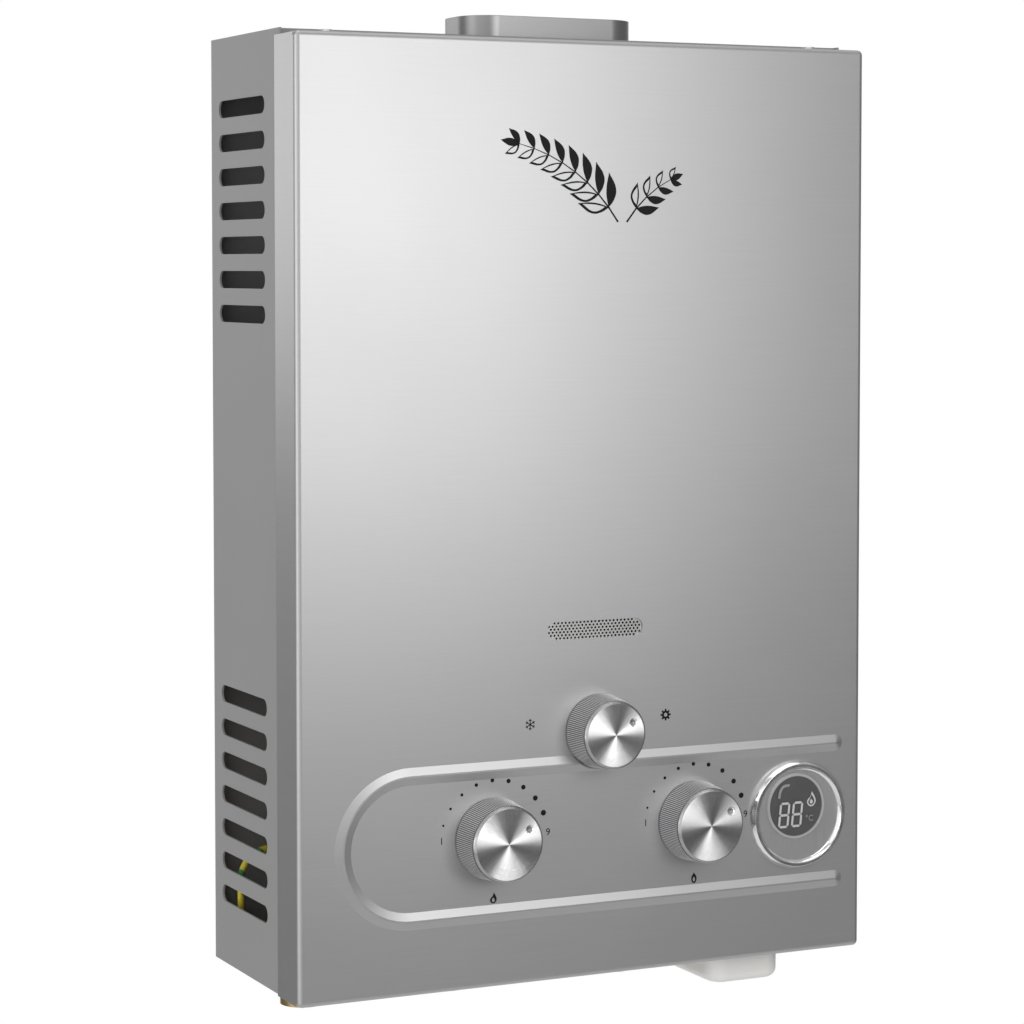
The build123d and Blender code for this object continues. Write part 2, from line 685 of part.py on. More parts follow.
def fin_block():
    """The stack of thin fins that the water tube passes through."""
    deep = CHAMBER_D - 2 * CHAMBER_WALL - 2 * FIN_GAP
    fin = Rectangle(deep, FIN_H)
    for y in pass_places():
        fin -= Pos(y - CHAMBER_Y, 0) * Circle(TUBE_R + TUBE_HOLE_GAP)
    fins = []
    for index in range(FIN_COUNT):
        x = (index - (FIN_COUNT - 1) / 2) * FIN_PITCH - FIN_T / 2
        fins.append(extrude(Plane(origin=(x, CHAMBER_Y, PASS_Z), x_dir=(0, 1, 0), z_dir=(1, 0, 0)) * fin,
                            amount=FIN_T))
    return fins


def coil_side():
    """How far the wrapped tube's centre line stands to each side of the middle."""
    return CHAMBER_W / 2 + COIL_GAP + TUBE_R


def exchanger_coil():
    """The water tube: a turn and a half round the chamber, then four passes through the fins."""
    side = coil_side()
    front = CHAMBER_FRONT_Y - COIL_GAP - TUBE_R
    back = CHAMBER_BACK_Y + COIL_GAP + TUBE_R
    low = COIL_LOW_Z
    half = COIL_LOW_Z + COIL_RISE / 2
    high = COIL_LOW_Z + COIL_RISE
    lead_x = side + COIL_BEND_R
    turn_x = CHAMBER_W / 2 + BEND_OUT + PASS_PITCH / 2
    points = [(side, PORT_Y, COIL_JOINT_Z), (side, PORT_Y, low), (side, front, low)]
    points += [(-side, front, low), (-side, back, half), (side, back, half), (side, front, high)]
    places = pass_places()
    points += [(-lead_x, front, high), (-lead_x, places[0], PASS_Z)]
    radii = [COIL_BEND_R] * (len(points) - 1)
    for index, direction in ((0, 1), (1, -1), (2, 1)):
        points.append((direction * turn_x, places[index], PASS_Z))
        points.append((direction * turn_x, places[index + 1], PASS_Z))
        radii += [PASS_PITCH / 2 - 0.1] * 2
    points.append((-coil_end_x(), places[3], PASS_Z))
    return pipe(points, radii, TUBE_R, TUBE_R - TUBE_WALL)


def coil_end_x():
    """How far to the left of the middle the fin tube ends."""
    return CHAMBER_W / 2 + BEND_OUT + PASS_PITCH / 2


def cold_pipe():
    """The pipe from the water valve up to the wrapped tube."""
    side = coil_side()
    points = [(WATER_BLOCK_RIGHT, PORT_Y, ROW_Z), (side, PORT_Y, ROW_Z), (side, PORT_Y, COIL_JOINT_Z)]
    return pipe(points, COIL_BEND_R, TUBE_R, TUBE_R - TUBE_WALL)


def hot_pipe():
    """The pipe from the last fin pass down to the hot water outlet."""
    back = pass_places()[3]
    drop = HOT_FITTING_TOP + 3 * COIL_BEND_R
    points = [(-coil_end_x(), back, PASS_Z), (HOT_X, back, PASS_Z), (HOT_X, back, drop + COIL_BEND_R * 3)]
    points += [(HOT_X, PORT_Y, drop), (HOT_X, PORT_Y, HOT_FITTING_TOP)]
    return pipe(points, COIL_BEND_R, TUBE_R, TUBE_R - TUBE_WALL)


def pipe_nut(point, direction):
    """A union nut round a tube, centred on a joint."""
    plane = Plane(origin=point, z_dir=direction)
    middle = (Align.CENTER, Align.CENTER, Align.CENTER)
    radius = (TUBE_R + NUT_WALL) / math.cos(math.pi / 6)
    nut = extrude(plane * RegularPolygon(radius, 6), amount=NUT_HALF_H, both=True)
    return nut - plane * Cylinder(TUBE_R, 2 * NUT_HALF_H + 1, align=middle)


def pipe_nuts():
    """The union nuts at the two joints of the copper tube."""
    cold = pipe_nut((coil_side(), PORT_Y, COIL_JOINT_Z), (0, 0, 1))
    hot = pipe_nut((-coil_end_x(), pass_places()[3], PASS_Z), (1, 0, 0))
    return [cold, hot]


def mounting_brackets():
    """Four strips with turned-up feet that carry the chamber off the back plate."""
    group = []
    for x in (-BRACKET_X, BRACKET_X):
        for z in BRACKET_Z:
            wide = (x - BRACKET_W / 2, x + BRACKET_W / 2)
            strip = block(wide, (CHAMBER_BACK_Y, -CASE_SHEET), (z, z + BRACKET_T))
            foot = (z - BRACKET_FOOT, z + BRACKET_T)
            strip += block(wide, (CHAMBER_BACK_Y, CHAMBER_BACK_Y + BRACKET_T), foot)
            strip += block(wide, (-CASE_SHEET - BRACKET_T, -CASE_SHEET), foot)
            group.append(strip)
    return group


def sight_glass():
    """The heat-proof window strip on the chamber's front wall."""
    plane = facing(SIGHT_X, SIGHT_Z, CHAMBER_FRONT_Y)
    strip = SlotOverall(SIGHT_L + GLASS_LAP, SIGHT_H + GLASS_LAP)
    return extrude(plane * strip, amount=GLASS_T)


def burner_frame():
    """The frame under the chamber, with ledges that carry the ends of the burner blades."""
    outer = RectangleRounded(CHAMBER_W, CHAMBER_D, CHAMBER_R)
    wall = 2 * BURNER_WALL
    inner = RectangleRounded(CHAMBER_W - wall, CHAMBER_D - wall, CHAMBER_R - BURNER_WALL)
    low = BLADE_BOTTOM - BURNER_WALL
    height = CHAMBER_BOTTOM - low
    frame = upright(outer, 0, CHAMBER_Y, low, height)
    frame -= upright(inner, 0, CHAMBER_Y, low - 1, height + 2)
    x = (-CHAMBER_W / 2 + CHAMBER_R, CHAMBER_W / 2 - CHAMBER_R)
    front = CHAMBER_FRONT_Y + BURNER_WALL / 2
    back = CHAMBER_BACK_Y - BURNER_WALL / 2
    frame += block(x, (front, front + BURNER_LEDGE), (low, BLADE_BOTTOM))
    return frame + block(x, (back - BURNER_LEDGE, back), (low, BLADE_BOTTOM))


def blade_places():
    """The X of each burner blade."""
    return [(index - (BLADE_COUNT - 1) / 2) * BLADE_PITCH for index in range(BLADE_COUNT)]


def burner_blade(x):
    """One blade burner: a slotted head, a web and a mixing tube below it."""
    front = CHAMBER_FRONT_Y + BURNER_WALL + BLADE_END_GAP
    back = CHAMBER_BACK_Y - BURNER_WALL - BLADE_END_GAP
    head = block((x - BLADE_T / 2, x + BLADE_T / 2), (front, back), (BLADE_BOTTOM, BLADE_TOP))
    head = fillet(head.edges().filter_by(Axis.Z), BLADE_T / 2 - 0.5)
    step = (back - front) / (PORT_COUNT + 1)
    for port in range(PORT_COUNT):
        y = front + (port + 1) * step
        half = BLADE_T / 2 - PORT_WALL
        head -= block((x - half, x + half), (y - PORT_W / 2, y + PORT_W / 2),
                      (BLADE_TOP - PORT_DEPTH, BLADE_TOP + 1))
    web_front = VENTURI_MOUTH_Y
    web_back = back - BURNER_LEDGE
    web = block((x - BLADE_WEB / 2, x + BLADE_WEB / 2), (web_front, web_back), (VENTURI_Z, BLADE_BOTTOM + 1))
    tube = rod((x, VENTURI_MOUTH_Y, VENTURI_Z), (x, web_back, VENTURI_Z), VENTURI_R)
    blade = head + web + tube
    bore_back = web_back - VENTURI_END
    return blade - rod((x, VENTURI_MOUTH_Y - 1, VENTURI_Z), (x, bore_back, VENTURI_Z), VENTURI_BORE)


def burner_blades():
    """The row of blade burners."""
    return [burner_blade(x) for x in blade_places()]


def gas_manifold():
    """The gas bar in front of the burners, with the riser that feeds it from the gas valve."""
    half = blade_places()[-1] + MANIFOLD_END
    z = (VENTURI_Z - MANIFOLD_H / 2, VENTURI_Z + MANIFOLD_H / 2)
    bar = block((-half, half), (MANIFOLD_FRONT_Y, MANIFOLD_BACK_Y), z)
    riser_y = MANIFOLD_Y
    bar += rod((GAS_X, riser_y, VALVE_TOP_Z), (GAS_X, riser_y, z[0] + 1), RISER_R)
    wide = RISER_FLANGE_W / 2
    deep = RISER_FLANGE_D / 2
    bar += block((GAS_X - wide, GAS_X + wide), (riser_y - deep, riser_y + deep),
                 (VALVE_TOP_Z, VALVE_TOP_Z + RISER_FLANGE_T))
    inside = half - MANIFOLD_WALL
    bar -= rod((-inside, MANIFOLD_Y, VENTURI_Z), (inside, MANIFOLD_Y, VENTURI_Z), MANIFOLD_BORE)
    bar -= rod((GAS_X, riser_y, VALVE_TOP_Z - 1), (GAS_X, riser_y, VENTURI_Z), MANIFOLD_BORE)
    return bar


def gas_injectors():
    """The brass injectors, one for each burner blade."""
    group = []
    for x in blade_places():
        start = (x, MANIFOLD_BACK_Y, VENTURI_Z)
        end = (x, VENTURI_MOUTH_Y - INJECTOR_GAP, VENTURI_Z)
        group.append(hollow_rod(start, end, INJECTOR_R, INJECTOR_BORE))
    return group


def season_valve_body():
    """The small valve on the gas bar that turns part of the burner off for summer."""
    x = (SEASON_X - SEASON_HALF, SEASON_X + SEASON_HALF)
    z = (SEASON_Z - SEASON_HALF, SEASON_Z + SEASON_HALF)
    body = block(x, (SEASON_FRONT_Y, MANIFOLD_FRONT_Y), z)
    body = fillet(body.edges().filter_by(Axis.Y), SEASON_EDGE_R)
    plug_y = SEASON_FRONT_Y + SEASON_WALL
    back = plug_y + SEASON_PLUG_L
    body -= rod((SEASON_X, plug_y, SEASON_Z), (SEASON_X, back, SEASON_Z), SEASON_PLUG_R + RUN_FIT)
    front = SEASON_FRONT_Y - 1
    return body - rod((SEASON_X, front, SEASON_Z), (SEASON_X, back, SEASON_Z), SPINDLE_R + RUN_FIT)


def spindle(x, z, plug_front, plug_back, plug_r):
    """A control spindle: a round plug at the back, and a flat on the end that grips the knob."""
    tip = FRONT_Y - KNOB_GAP - SPINDLE_GRIP
    shaft = rod((x, plug_back, z), (x, tip, z), SPINDLE_R)
    shaft += rod((x, plug_back, z), (x, plug_front, z), plug_r)
    wide = 2 * SPINDLE_R
    flat = block((-wide, wide), (tip - 1, FRONT_Y - KNOB_GAP), (SPINDLE_FLAT, wide))
    return shaft - Pos(x, 0, z) * flat


def gas_spindle():
    """The gas spindle with its plug."""
    return spindle(GAS_X, ROW_Z, PLUG_BACK_Y - PLUG_L, PLUG_BACK_Y, PLUG_R)


def water_spindle():
    """The water spindle with its plug."""
    return spindle(WATER_X, ROW_Z, PLUG_BACK_Y - PLUG_L, PLUG_BACK_Y, PLUG_R)


def season_spindle():
    """The season spindle with its smaller plug."""
    front = SEASON_FRONT_Y + SEASON_WALL + PLUG_END_GAP
    return spindle(SEASON_X, SEASON_Z, front, front + SEASON_PLUG_L - 2 * PLUG_END_GAP, SEASON_PLUG_R)


def plug_bore(x):
    """The bore for a large plug, from the valve's front face."""
    return rod((x, VALVE_FRONT_Y - 1, ROW_Z), (x, PLUG_BACK_Y + PLUG_END_GAP, ROW_Z), PLUG_R + RUN_FIT)


def gas_valve_body():
    """The gas valve casting: plug bore in front, seat bore at the left, push rod bore at the right."""
    x = (GAS_X - VALVE_HALF_W, GAS_X + VALVE_HALF_W)
    body = block(x, (VALVE_FRONT_Y, VALVE_BACK_Y), (VALVE_BOTTOM_Z, VALVE_TOP_Z))
    body = fillet(body.edges().filter_by(Axis.Z), VALVE_EDGE_R)
    body -= plug_bore(GAS_X) + cap_screw_holes(GAS_X, SCREW_R)
    body -= rod((x[0] - 1, ROD_Y, ROW_Z), (x[0] + SEAT_BORE_L, ROD_Y, ROW_Z), SEAT_BORE_R)
    rod_end = ROD_LEFT_X - ROD_TRAVEL - 1
    body -= rod((rod_end, ROD_Y, ROW_Z), (x[1] + 1, ROD_Y, ROW_Z), ROD_R + RUN_FIT)
    body -= rod((GAS_X, PORT_Y, VALVE_BOTTOM_Z - 1), (GAS_X, PORT_Y, ROW_Z), FITTING_BORE_R)
    return body - rod((GAS_X, MANIFOLD_Y, VALVE_TOP_Z + 1), (GAS_X, MANIFOLD_Y, ROW_Z), MANIFOLD_BORE)


def valve_caps():
    """The two plates that hold the gas and water plugs in their valves."""
    group = []
    half = CAP_PLATE_HALF
    for x in (GAS_X, WATER_X):
        y = (VALVE_FRONT_Y - CAP_PLATE_T, VALVE_FRONT_Y)
        cap = block((x - half, x + half), y, (ROW_Z - half, ROW_Z + half))
        cap = fillet(cap.edges().filter_by(Axis.Y), CAP_PLATE_R)
        cap -= rod((x, VALVE_FRONT_Y - 5, ROW_Z), (x, VALVE_FRONT_Y + 1, ROW_Z), SPINDLE_R + RUN_FIT)
        group.append(cap - cap_screw_holes(x, SCREW_R + SCREW_CLEAR))
    return group


def cap_screw_places(x):
    """X and Z of the two screws of a valve cap."""
    return [(x + side * CAP_SCREW_OFFSET, ROW_Z - side * CAP_SCREW_OFFSET) for side in (-1, 1)]


def cap_screw_holes(x, radius):
    """The holes for the screws of a valve cap, into the valve's front."""
    holes = []
    for place_x, z in cap_screw_places(x):
        ends = ((place_x, VALVE_FRONT_Y - 5, z), (place_x, VALVE_FRONT_Y + SCREW_L, z))
        holes.append(rod(*ends, radius))
    return holes[0] + holes[1]


def water_valve_body():
    """The water valve casting, with its half of the diaphragm housing."""
    face = DISC_SPLIT_X + DIAPHRAGM_T
    left = face + DISC_T
    body = block((left - 1, WATER_BLOCK_RIGHT), (VALVE_FRONT_Y, VALVE_BACK_Y), (VALVE_BOTTOM_Z, VALVE_TOP_Z))
    body = fillet(body.edges().filter_by(Axis.Z), VALVE_EDGE_R)
    body += rod((face, ROD_Y, ROW_Z), (left, ROD_Y, ROW_Z), DISC_R)
    body -= rod((face - 1, ROD_Y, ROW_Z), (left - DISC_WALL, ROD_Y, ROW_Z), DISC_CAVITY_R)
    body -= plug_bore(WATER_X) + cap_screw_holes(WATER_X, SCREW_R)
    body -= rod((COLD_X, PORT_Y, VALVE_BOTTOM_Z - 1), (COLD_X, PORT_Y, ROW_Z), FITTING_BORE_R)
    body -= rod((COLD_X, PORT_Y, ROW_Z), (WATER_BLOCK_RIGHT + 1, PORT_Y, ROW_Z), TUBE_R - TUBE_WALL)
    for y, z in disc_screw_places():
        body -= rod((face - 1, y, z), (face + DISC_SCREW_DEPTH, y, z), SCREW_R)
    return body


def disc_screw_places():
    """Y and Z of the screws round the diaphragm housing."""
    places = []
    for index in range(DISC_SCREW_COUNT):
        angle = 2 * math.pi * index / DISC_SCREW_COUNT
        places.append((ROD_Y + DISC_SCREW_R * math.cos(angle), ROW_Z + DISC_SCREW_R * math.sin(angle)))
    return places


def water_valve_cover():
    """The left half of the diaphragm housing, with the push rod's guide."""
    cover = rod((DISC_LEFT_X, ROD_Y, ROW_Z), (DISC_SPLIT_X, ROD_Y, ROW_Z), DISC_R)
    cover -= rod((DISC_LEFT_X + DISC_WALL, ROD_Y, ROW_Z), (DISC_SPLIT_X + 1, ROD_Y, ROW_Z), DISC_CAVITY_R)
    cover += rod((DISC_LEFT_X - GUIDE_L, ROD_Y, ROW_Z), (DISC_LEFT_X + 1, ROD_Y, ROW_Z), GUIDE_R)
    cover -= rod((DISC_LEFT_X - GUIDE_L - 1, ROD_Y, ROW_Z), (DISC_SPLIT_X, ROD_Y, ROW_Z), ROD_R + RUN_FIT)
    for y, z in disc_screw_places():
        cover -= rod((DISC_LEFT_X - 1, y, z), (DISC_SPLIT_X + 1, y, z), SCREW_R + SCREW_CLEAR)
    return cover


def diaphragm():
    """The rubber diaphragm clamped between the housing halves."""
    disc = rod((DISC_SPLIT_X, ROD_Y, ROW_Z), (DISC_SPLIT_X + DIAPHRAGM_T, ROD_Y, ROW_Z), DISC_R)
    for y, z in disc_screw_places():
        disc -= rod((DISC_SPLIT_X - 1, y, z), (DISC_SPLIT_X + 3, y, z), SCREW_R + SCREW_CLEAR)
    return disc


def valve_screws():
    """The screws that clamp the housing halves, and those of the two valve caps."""
    group = []
    disc_screw_l = DISC_SPLIT_X - DISC_LEFT_X + DIAPHRAGM_T + DISC_SCREW_DEPTH - DISC_END_GAP
    for y, z in disc_screw_places():
        group.append(screw((DISC_LEFT_X, y, z), (1, 0, 0), disc_screw_l))
    for x in (GAS_X, WATER_X):
        for place_x, z in cap_screw_places(x):
            group.append(screw((place_x, VALVE_FRONT_Y - CAP_PLATE_T, z), (0, 1, 0)))
    return group


def push_rod():
    """The push rod from the diaphragm to the gas valve, with its plate and its switch collar."""
    piston_x = DISC_SPLIT_X - PISTON_GAP
    body = rod((ROD_LEFT_X, ROD_Y, ROW_Z), (piston_x, ROD_Y, ROW_Z), ROD_R)
    body += rod((piston_x - PISTON_T, ROD_Y, ROW_Z), (piston_x, ROD_Y, ROW_Z), PISTON_R)
    end = ROD_COLLAR_X + ROD_COLLAR_T
    return body + rod((ROD_COLLAR_X, ROD_Y, ROW_Z), (end, ROD_Y, ROW_Z), ROD_COLLAR_R)


def micro_switch():
    """The micro switch over the push rod, on a strip that reaches to the water valve's cover."""
    wide, deep, high = SWITCH_SIZE
    z = SWITCH_BOTTOM_Z + 2 * LEVER_PIN_R
    x = (SWITCH_X - wide / 2, SWITCH_X + wide / 2)
    body = block(x, (ROD_Y - deep / 2, ROD_Y + deep / 2), (z, z + high))
    back = ROD_Y + deep / 2
    strip_z = (z + 1, z + high)
    body += block((x[0] + 2, DISC_LEFT_X), (back, back + SWITCH_STRIP_T), strip_z)
    foot_y = (ROD_Y - deep / 2, back + SWITCH_STRIP_T)
    body += block((DISC_LEFT_X - SWITCH_STRIP_T, DISC_LEFT_X), foot_y, strip_z)
    half = SWITCH_EAR_HALF
    for side in (-1, 1):
        y = sorted((ROD_Y + side * deep / 2, ROD_Y + side * (deep / 2 - SWITCH_EAR_T)))
        ear = block((LEVER_PIVOT_X - half, LEVER_PIVOT_X + half), y, (SWITCH_BOTTOM_Z - half, z + 1))
        ends = ((LEVER_PIVOT_X, y[0] - 1, SWITCH_BOTTOM_Z), (LEVER_PIVOT_X, y[1] + 1, SWITCH_BOTTOM_Z))
        body += ear - rod(*ends, LEVER_PIN_R + RUN_FIT)
    return body


def micro_switch_lever():
    """The switch lever: a pin and a blade that hangs in front of the push rod's collar."""
    half = SWITCH_SIZE[1] / 2
    ends = ((LEVER_PIVOT_X, ROD_Y - half, SWITCH_BOTTOM_Z), (LEVER_PIVOT_X, ROD_Y + half, SWITCH_BOTTOM_Z))
    pin = rod(*ends, LEVER_PIN_R)
    low = ROW_Z + ROD_R + LEVER_LOW_GAP
    x = (ROD_COLLAR_X - LEVER_GAP - LEVER_T, ROD_COLLAR_X - LEVER_GAP)
    y = (ROD_Y - LEVER_HALF_W, ROD_Y + LEVER_HALF_W)
    blade = block(x, y, (low, SWITCH_BOTTOM_Z + LEVER_PIN_R))
    arm = block((LEVER_PIVOT_X, x[1]), y, (SWITCH_BOTTOM_Z - LEVER_T / 2, SWITCH_BOTTOM_Z + LEVER_T / 2))
    return pin + arm + blade


def solenoid_body():
    """The safety solenoid on the gas valve's left face."""
    right = GAS_X - VALVE_HALF_W
    left = right - SOLENOID_L
    body = rod((left, ROD_Y, ROW_Z), (right, ROD_Y, ROW_Z), SOLENOID_R)
    half = SOLENOID_FLANGE / 2
    body += block((right - SOLENOID_WALL, right), (ROD_Y - half, ROD_Y + half), (ROW_Z - half, ROW_Z + half))
    return body - rod((left + SOLENOID_WALL, ROD_Y, ROW_Z), (right + 1, ROD_Y, ROW_Z), PLUNGER_R + RUN_FIT)


def solenoid_plunger():
    """The plunger and its valve disc, which the solenoid pulls to the left."""
    right = GAS_X - VALVE_HALF_W
    seat = right + SEAT_BORE_L - SEAT_T - PLUNGER_END_GAP
    tail = right - SOLENOID_L + SOLENOID_WALL + PLUNGER_TRAVEL + PLUNGER_REST
    body = rod((tail, ROD_Y, ROW_Z), (seat, ROD_Y, ROW_Z), PLUNGER_R)
    return body + rod((seat, ROD_Y, ROW_Z), (seat + SEAT_T, ROD_Y, ROW_Z), SEAT_R)


def threaded_fitting(x, top):
    """A brass spigot with a pipe thread below, a shank in the grommet, a hexagon and a neck above."""
    thread_top = COVER_BOTTOM - THREAD_DROP
    low = thread_top - THREAD_L
    hex_z = FLOOR_Z + GROMMET_T
    body = rod((x, PORT_Y, low), (x, PORT_Y, thread_top), THREAD_R)
    body += rod((x, PORT_Y, low), (x, PORT_Y, hex_z + 1), SHANK_R)
    body += hexagon(x, PORT_Y, hex_z, HEX_AF, HEX_H)
    body += rod((x, PORT_Y, hex_z), (x, PORT_Y, top), NECK_R)
    return body - rod((x, PORT_Y, low - 1), (x, PORT_Y, top + 1), FITTING_BORE_R)


def gas_inlet_fitting():
    """The gas inlet, up into the gas valve."""
    return threaded_fitting(GAS_X, VALVE_BOTTOM_Z)


def cold_inlet_fitting():
    """The cold water inlet, up into the water valve."""
    return threaded_fitting(COLD_X, VALVE_BOTTOM_Z)


def hot_outlet_fitting():
    """The hot water outlet, closed over the hot pipe's end, with a boss for the relief valve."""
    low = HOT_FITTING_TOP - HOT_CAP_BELOW
    high = HOT_FITTING_TOP + HOT_CAP_ABOVE
    body = threaded_fitting(HOT_X, low)
    cap = rod((HOT_X, PORT_Y, low), (HOT_X, PORT_Y, high), NECK_R)
    cap -= rod((HOT_X, PORT_Y, low - 1), (HOT_X, PORT_Y, high + 1), TUBE_R)
    return body + cap


def relief_valve():
    """The pressure relief valve, screwed into the front of the hot outlet."""
    z = HOT_FITTING_TOP - RELIEF_DROP
    start = PORT_Y - NECK_R
    body = rod((HOT_X, start, z), (HOT_X, start - RELIEF_L, z), RELIEF_R)
    plane = facing(HOT_X, z, start - RELIEF_HEX_OUT)
    radius = RELIEF_HEX / 2 / math.cos(math.pi / 6)
    return body + extrude(plane * RegularPolygon(radius, 6), amount=RELIEF_HEX_H)


def port_grommets():
    """The rubber grommets of the three pipe fittings."""
    group = []
    for x in (GAS_X, COLD_X, HOT_X):
        ring = rod((x, PORT_Y, FLOOR_Z), (x, PORT_Y, FLOOR_Z + GROMMET_T), GROMMET_R)
        ring += rod((x, PORT_Y, CASE_BOTTOM), (x, PORT_Y, FLOOR_Z), GROMMET_R - GROMMET_T)
        ring -= rod((x, PORT_Y, CASE_BOTTOM - 1), (x, PORT_Y, FLOOR_Z + 5), SHANK_R)
        group.append(ring)
    return group


def igniter_box():
    """The spark igniter and control box on the back plate, behind the valves."""
    x = (IGNITER_X - IGNITER_W / 2, IGNITER_X + IGNITER_W / 2)
    low = IGNITER_TOP_Z - IGNITER_H
    box = block(x, (-CASE_SHEET - IGNITER_D, -CASE_SHEET), (low, IGNITER_TOP_Z))
    return fillet(box.edges().filter_by(Axis.Y), IGNITER_R)


def electrode(x):
    """A ceramic electrode with a collar on the chamber's front wall and a steel needle."""
    y = CHAMBER_FRONT_Y
    body = rod((x, y - CERAMIC_FRONT, ELECTRODE_Z), (x, y + CERAMIC_BACK, ELECTRODE_Z), CERAMIC_R)
    body += rod((x, y - CERAMIC_COLLAR_T, ELECTRODE_Z), (x, y, ELECTRODE_Z), CERAMIC_COLLAR_R)
    tip = y + CERAMIC_BACK + NEEDLE_L
    return body + rod((x, y, ELECTRODE_Z), (x, tip, ELECTRODE_Z), NEEDLE_R)


def electrodes():
    """The spark electrode at the right and the flame probe at the left."""
    return [electrode(-ELECTRODE_X), electrode(ELECTRODE_X)]


def ignition_leads():
    """The two leads from the electrodes down, back over the valves and into the igniter box."""
    group = []
    front = CHAMBER_FRONT_Y - CERAMIC_FRONT
    down_y = COVER_IN_Y + LEAD_FRONT_GAP + LEAD_R
    for side in (-1, 1):
        x = side * ELECTRODE_X
        end_x = IGNITER_X + side * IGNITER_W / 4
        end_y = -CASE_SHEET - IGNITER_D / 2
        points = [(x, front, ELECTRODE_Z), (x, down_y, ELECTRODE_Z), (x, down_y, LEAD_SHELF_Z)]
        points += [(end_x, end_y, LEAD_SHELF_Z), (end_x, end_y, IGNITER_TOP_Z)]
        group.append(pipe(points, LEAD_BEND_R, LEAD_R))
    return group


def earth_wire():
    """The yellow and green earth wire, from its ring on the bottom plate to the igniter box."""
    ring = rod((EARTH_X, EARTH_Y, FLOOR_Z), (EARTH_X, EARTH_Y, FLOOR_Z + LUG_T), LUG_R)
    ring -= rod((EARTH_X, EARTH_Y, FLOOR_Z - 1), (EARTH_X, EARTH_Y, FLOOR_Z + 2), SCREW_R + SCREW_CLEAR)
    start_y = EARTH_Y + LUG_REACH
    half = LUG_W / 2
    tail = (EARTH_Y + LUG_R - 1, start_y + EARTH_R)
    ring += block((EARTH_X - half, EARTH_X + half), tail, (FLOOR_Z, FLOOR_Z + LUG_T))
    left = IGNITER_X - IGNITER_W / 2
    points = [(EARTH_X, start_y, FLOOR_Z + LUG_T / 2), (EARTH_X, start_y, EARTH_TOP_Z)]
    points += [(left, start_y, EARTH_TOP_Z)]
    return ring + pipe(points, EARTH_BEND_R, EARTH_R)


def overheat_thermostat():
    """The overheat cut-out on the chamber's front wall, with its two terminals."""
    y = CHAMBER_FRONT_Y
    body = rod((THERMOSTAT_X, y, THERMOSTAT_Z), (THERMOSTAT_X, y - THERMOSTAT_T, THERMOSTAT_Z), THERMOSTAT_R)
    reach = THERMOSTAT_R + THERMOSTAT_EAR
    ear_z = (THERMOSTAT_Z - THERMOSTAT_EAR, THERMOSTAT_Z + THERMOSTAT_EAR)
    body += block((THERMOSTAT_X - reach, THERMOSTAT_X + reach), (y - THERMOSTAT_EAR_T, y), ear_z)
    half = TERMINAL_W / 2
    for side in (-1, 1):
        x = THERMOSTAT_X + side * TERMINAL_X
        body += block((x - half, x + half), (y - THERMOSTAT_T - TERMINAL_L, y - THERMOSTAT_T + 1),
                      (THERMOSTAT_Z - TERMINAL_T / 2, THERMOSTAT_Z + TERMINAL_T / 2))
    return body


def knurled_cone(base_r, top_r, height):
    """A slightly tapered skirt with straight fine grooves all round."""
    grooves = round(2 * math.pi * base_r / KNURL_PITCH)
    rings = []
    for z, radius in ((0.0, base_r), (height, top_r)):
        points = []
        for index in range(2 * grooves):
            angle = math.pi * index / grooves
            r = radius - KNURL_DEPTH * (index % 2)
            points.append((r * math.cos(angle), r * math.sin(angle), z))
        rings.append(make_face(Polyline(*points, close=True)))
    return loft(rings, ruled=True)


def knob(x, z, base_r, top_r):
    """A control knob: a hollow knurled skirt with a hub that grips the spindle's flat."""
    plane = facing(x, z, FRONT_Y - KNOB_GAP)
    height = KNOB_PROUD - KNOB_GAP - CAP_T
    body = plane * knurled_cone(base_r, top_r, height)
    wall = top_r - KNURL_DEPTH - KNOB_WALL
    depth = height - KNOB_WALL
    ring = [(KNOB_HUB_R, -1), (wall, -1), (wall, depth), (KNOB_HUB_R, depth)]
    body -= turned(plane, ring)
    return body - spindle_grip(x, z)


def spindle_grip(x, z):
    """The D-shaped hole in a knob's hub."""
    tip = FRONT_Y - KNOB_GAP - SPINDLE_GRIP
    hole = rod((x, FRONT_Y, z), (x, tip, z), SPINDLE_R)
    side = 2 * SPINDLE_R
    return hole - block((x - side, x + side), (tip - 1, FRONT_Y + 1), (z + SPINDLE_FLAT, z + side))


def knob_cap(x, z, top_r):
    """The spun metal cap on a knob's face, with a chamfered rim and a pointer dimple."""
    plane = facing(x, z, FRONT_Y - KNOB_PROUD + CAP_T)
    rim = top_r - KNURL_DEPTH
    profile = [(0, 0), (rim, 0), (rim, CAP_T - CAP_CHAMFER), (rim - CAP_CHAMFER, CAP_T), (0, CAP_T)]
    cap = turned(plane, profile)
    angle = math.radians(DIMPLE_ANGLE)
    reach = DIMPLE_OFFSET - (KNOB_TOP_R - top_r)
    place = Pos(reach * math.cos(angle), reach * math.sin(angle), CAP_T + DIMPLE_BALL_OUT)
    return cap - plane * place * Sphere(DIMPLE_BALL_R)


def display_bezel():
    """The round display bezel: a rounded bright ring with a stepped inner rim."""
    plane = facing(DISPLAY_X, DISPLAY_Z, FRONT_Y)
    rise = BEZEL_PROUD
    inner = BEZEL_R - BEZEL_RIM
    back = COVER_SHEET
    profile = [(DIAL_R, -back), (DIAL_R + HOUSING_WALL, -back), (DIAL_R + HOUSING_WALL, 0), (BEZEL_R, 0)]
    edge = BEZEL_EDGE
    profile += [(BEZEL_R, rise - 1.5 * edge), (BEZEL_R - 0.3 * edge, rise - 0.75 * edge)]
    profile += [(BEZEL_R - edge, rise), (inner, rise)]
    profile += [(inner - 0.4 * BEZEL_SLOPE, rise - 0.7 * BEZEL_SLOPE), (DIAL_R, rise - BEZEL_SLOPE)]
    return turned(plane, profile)


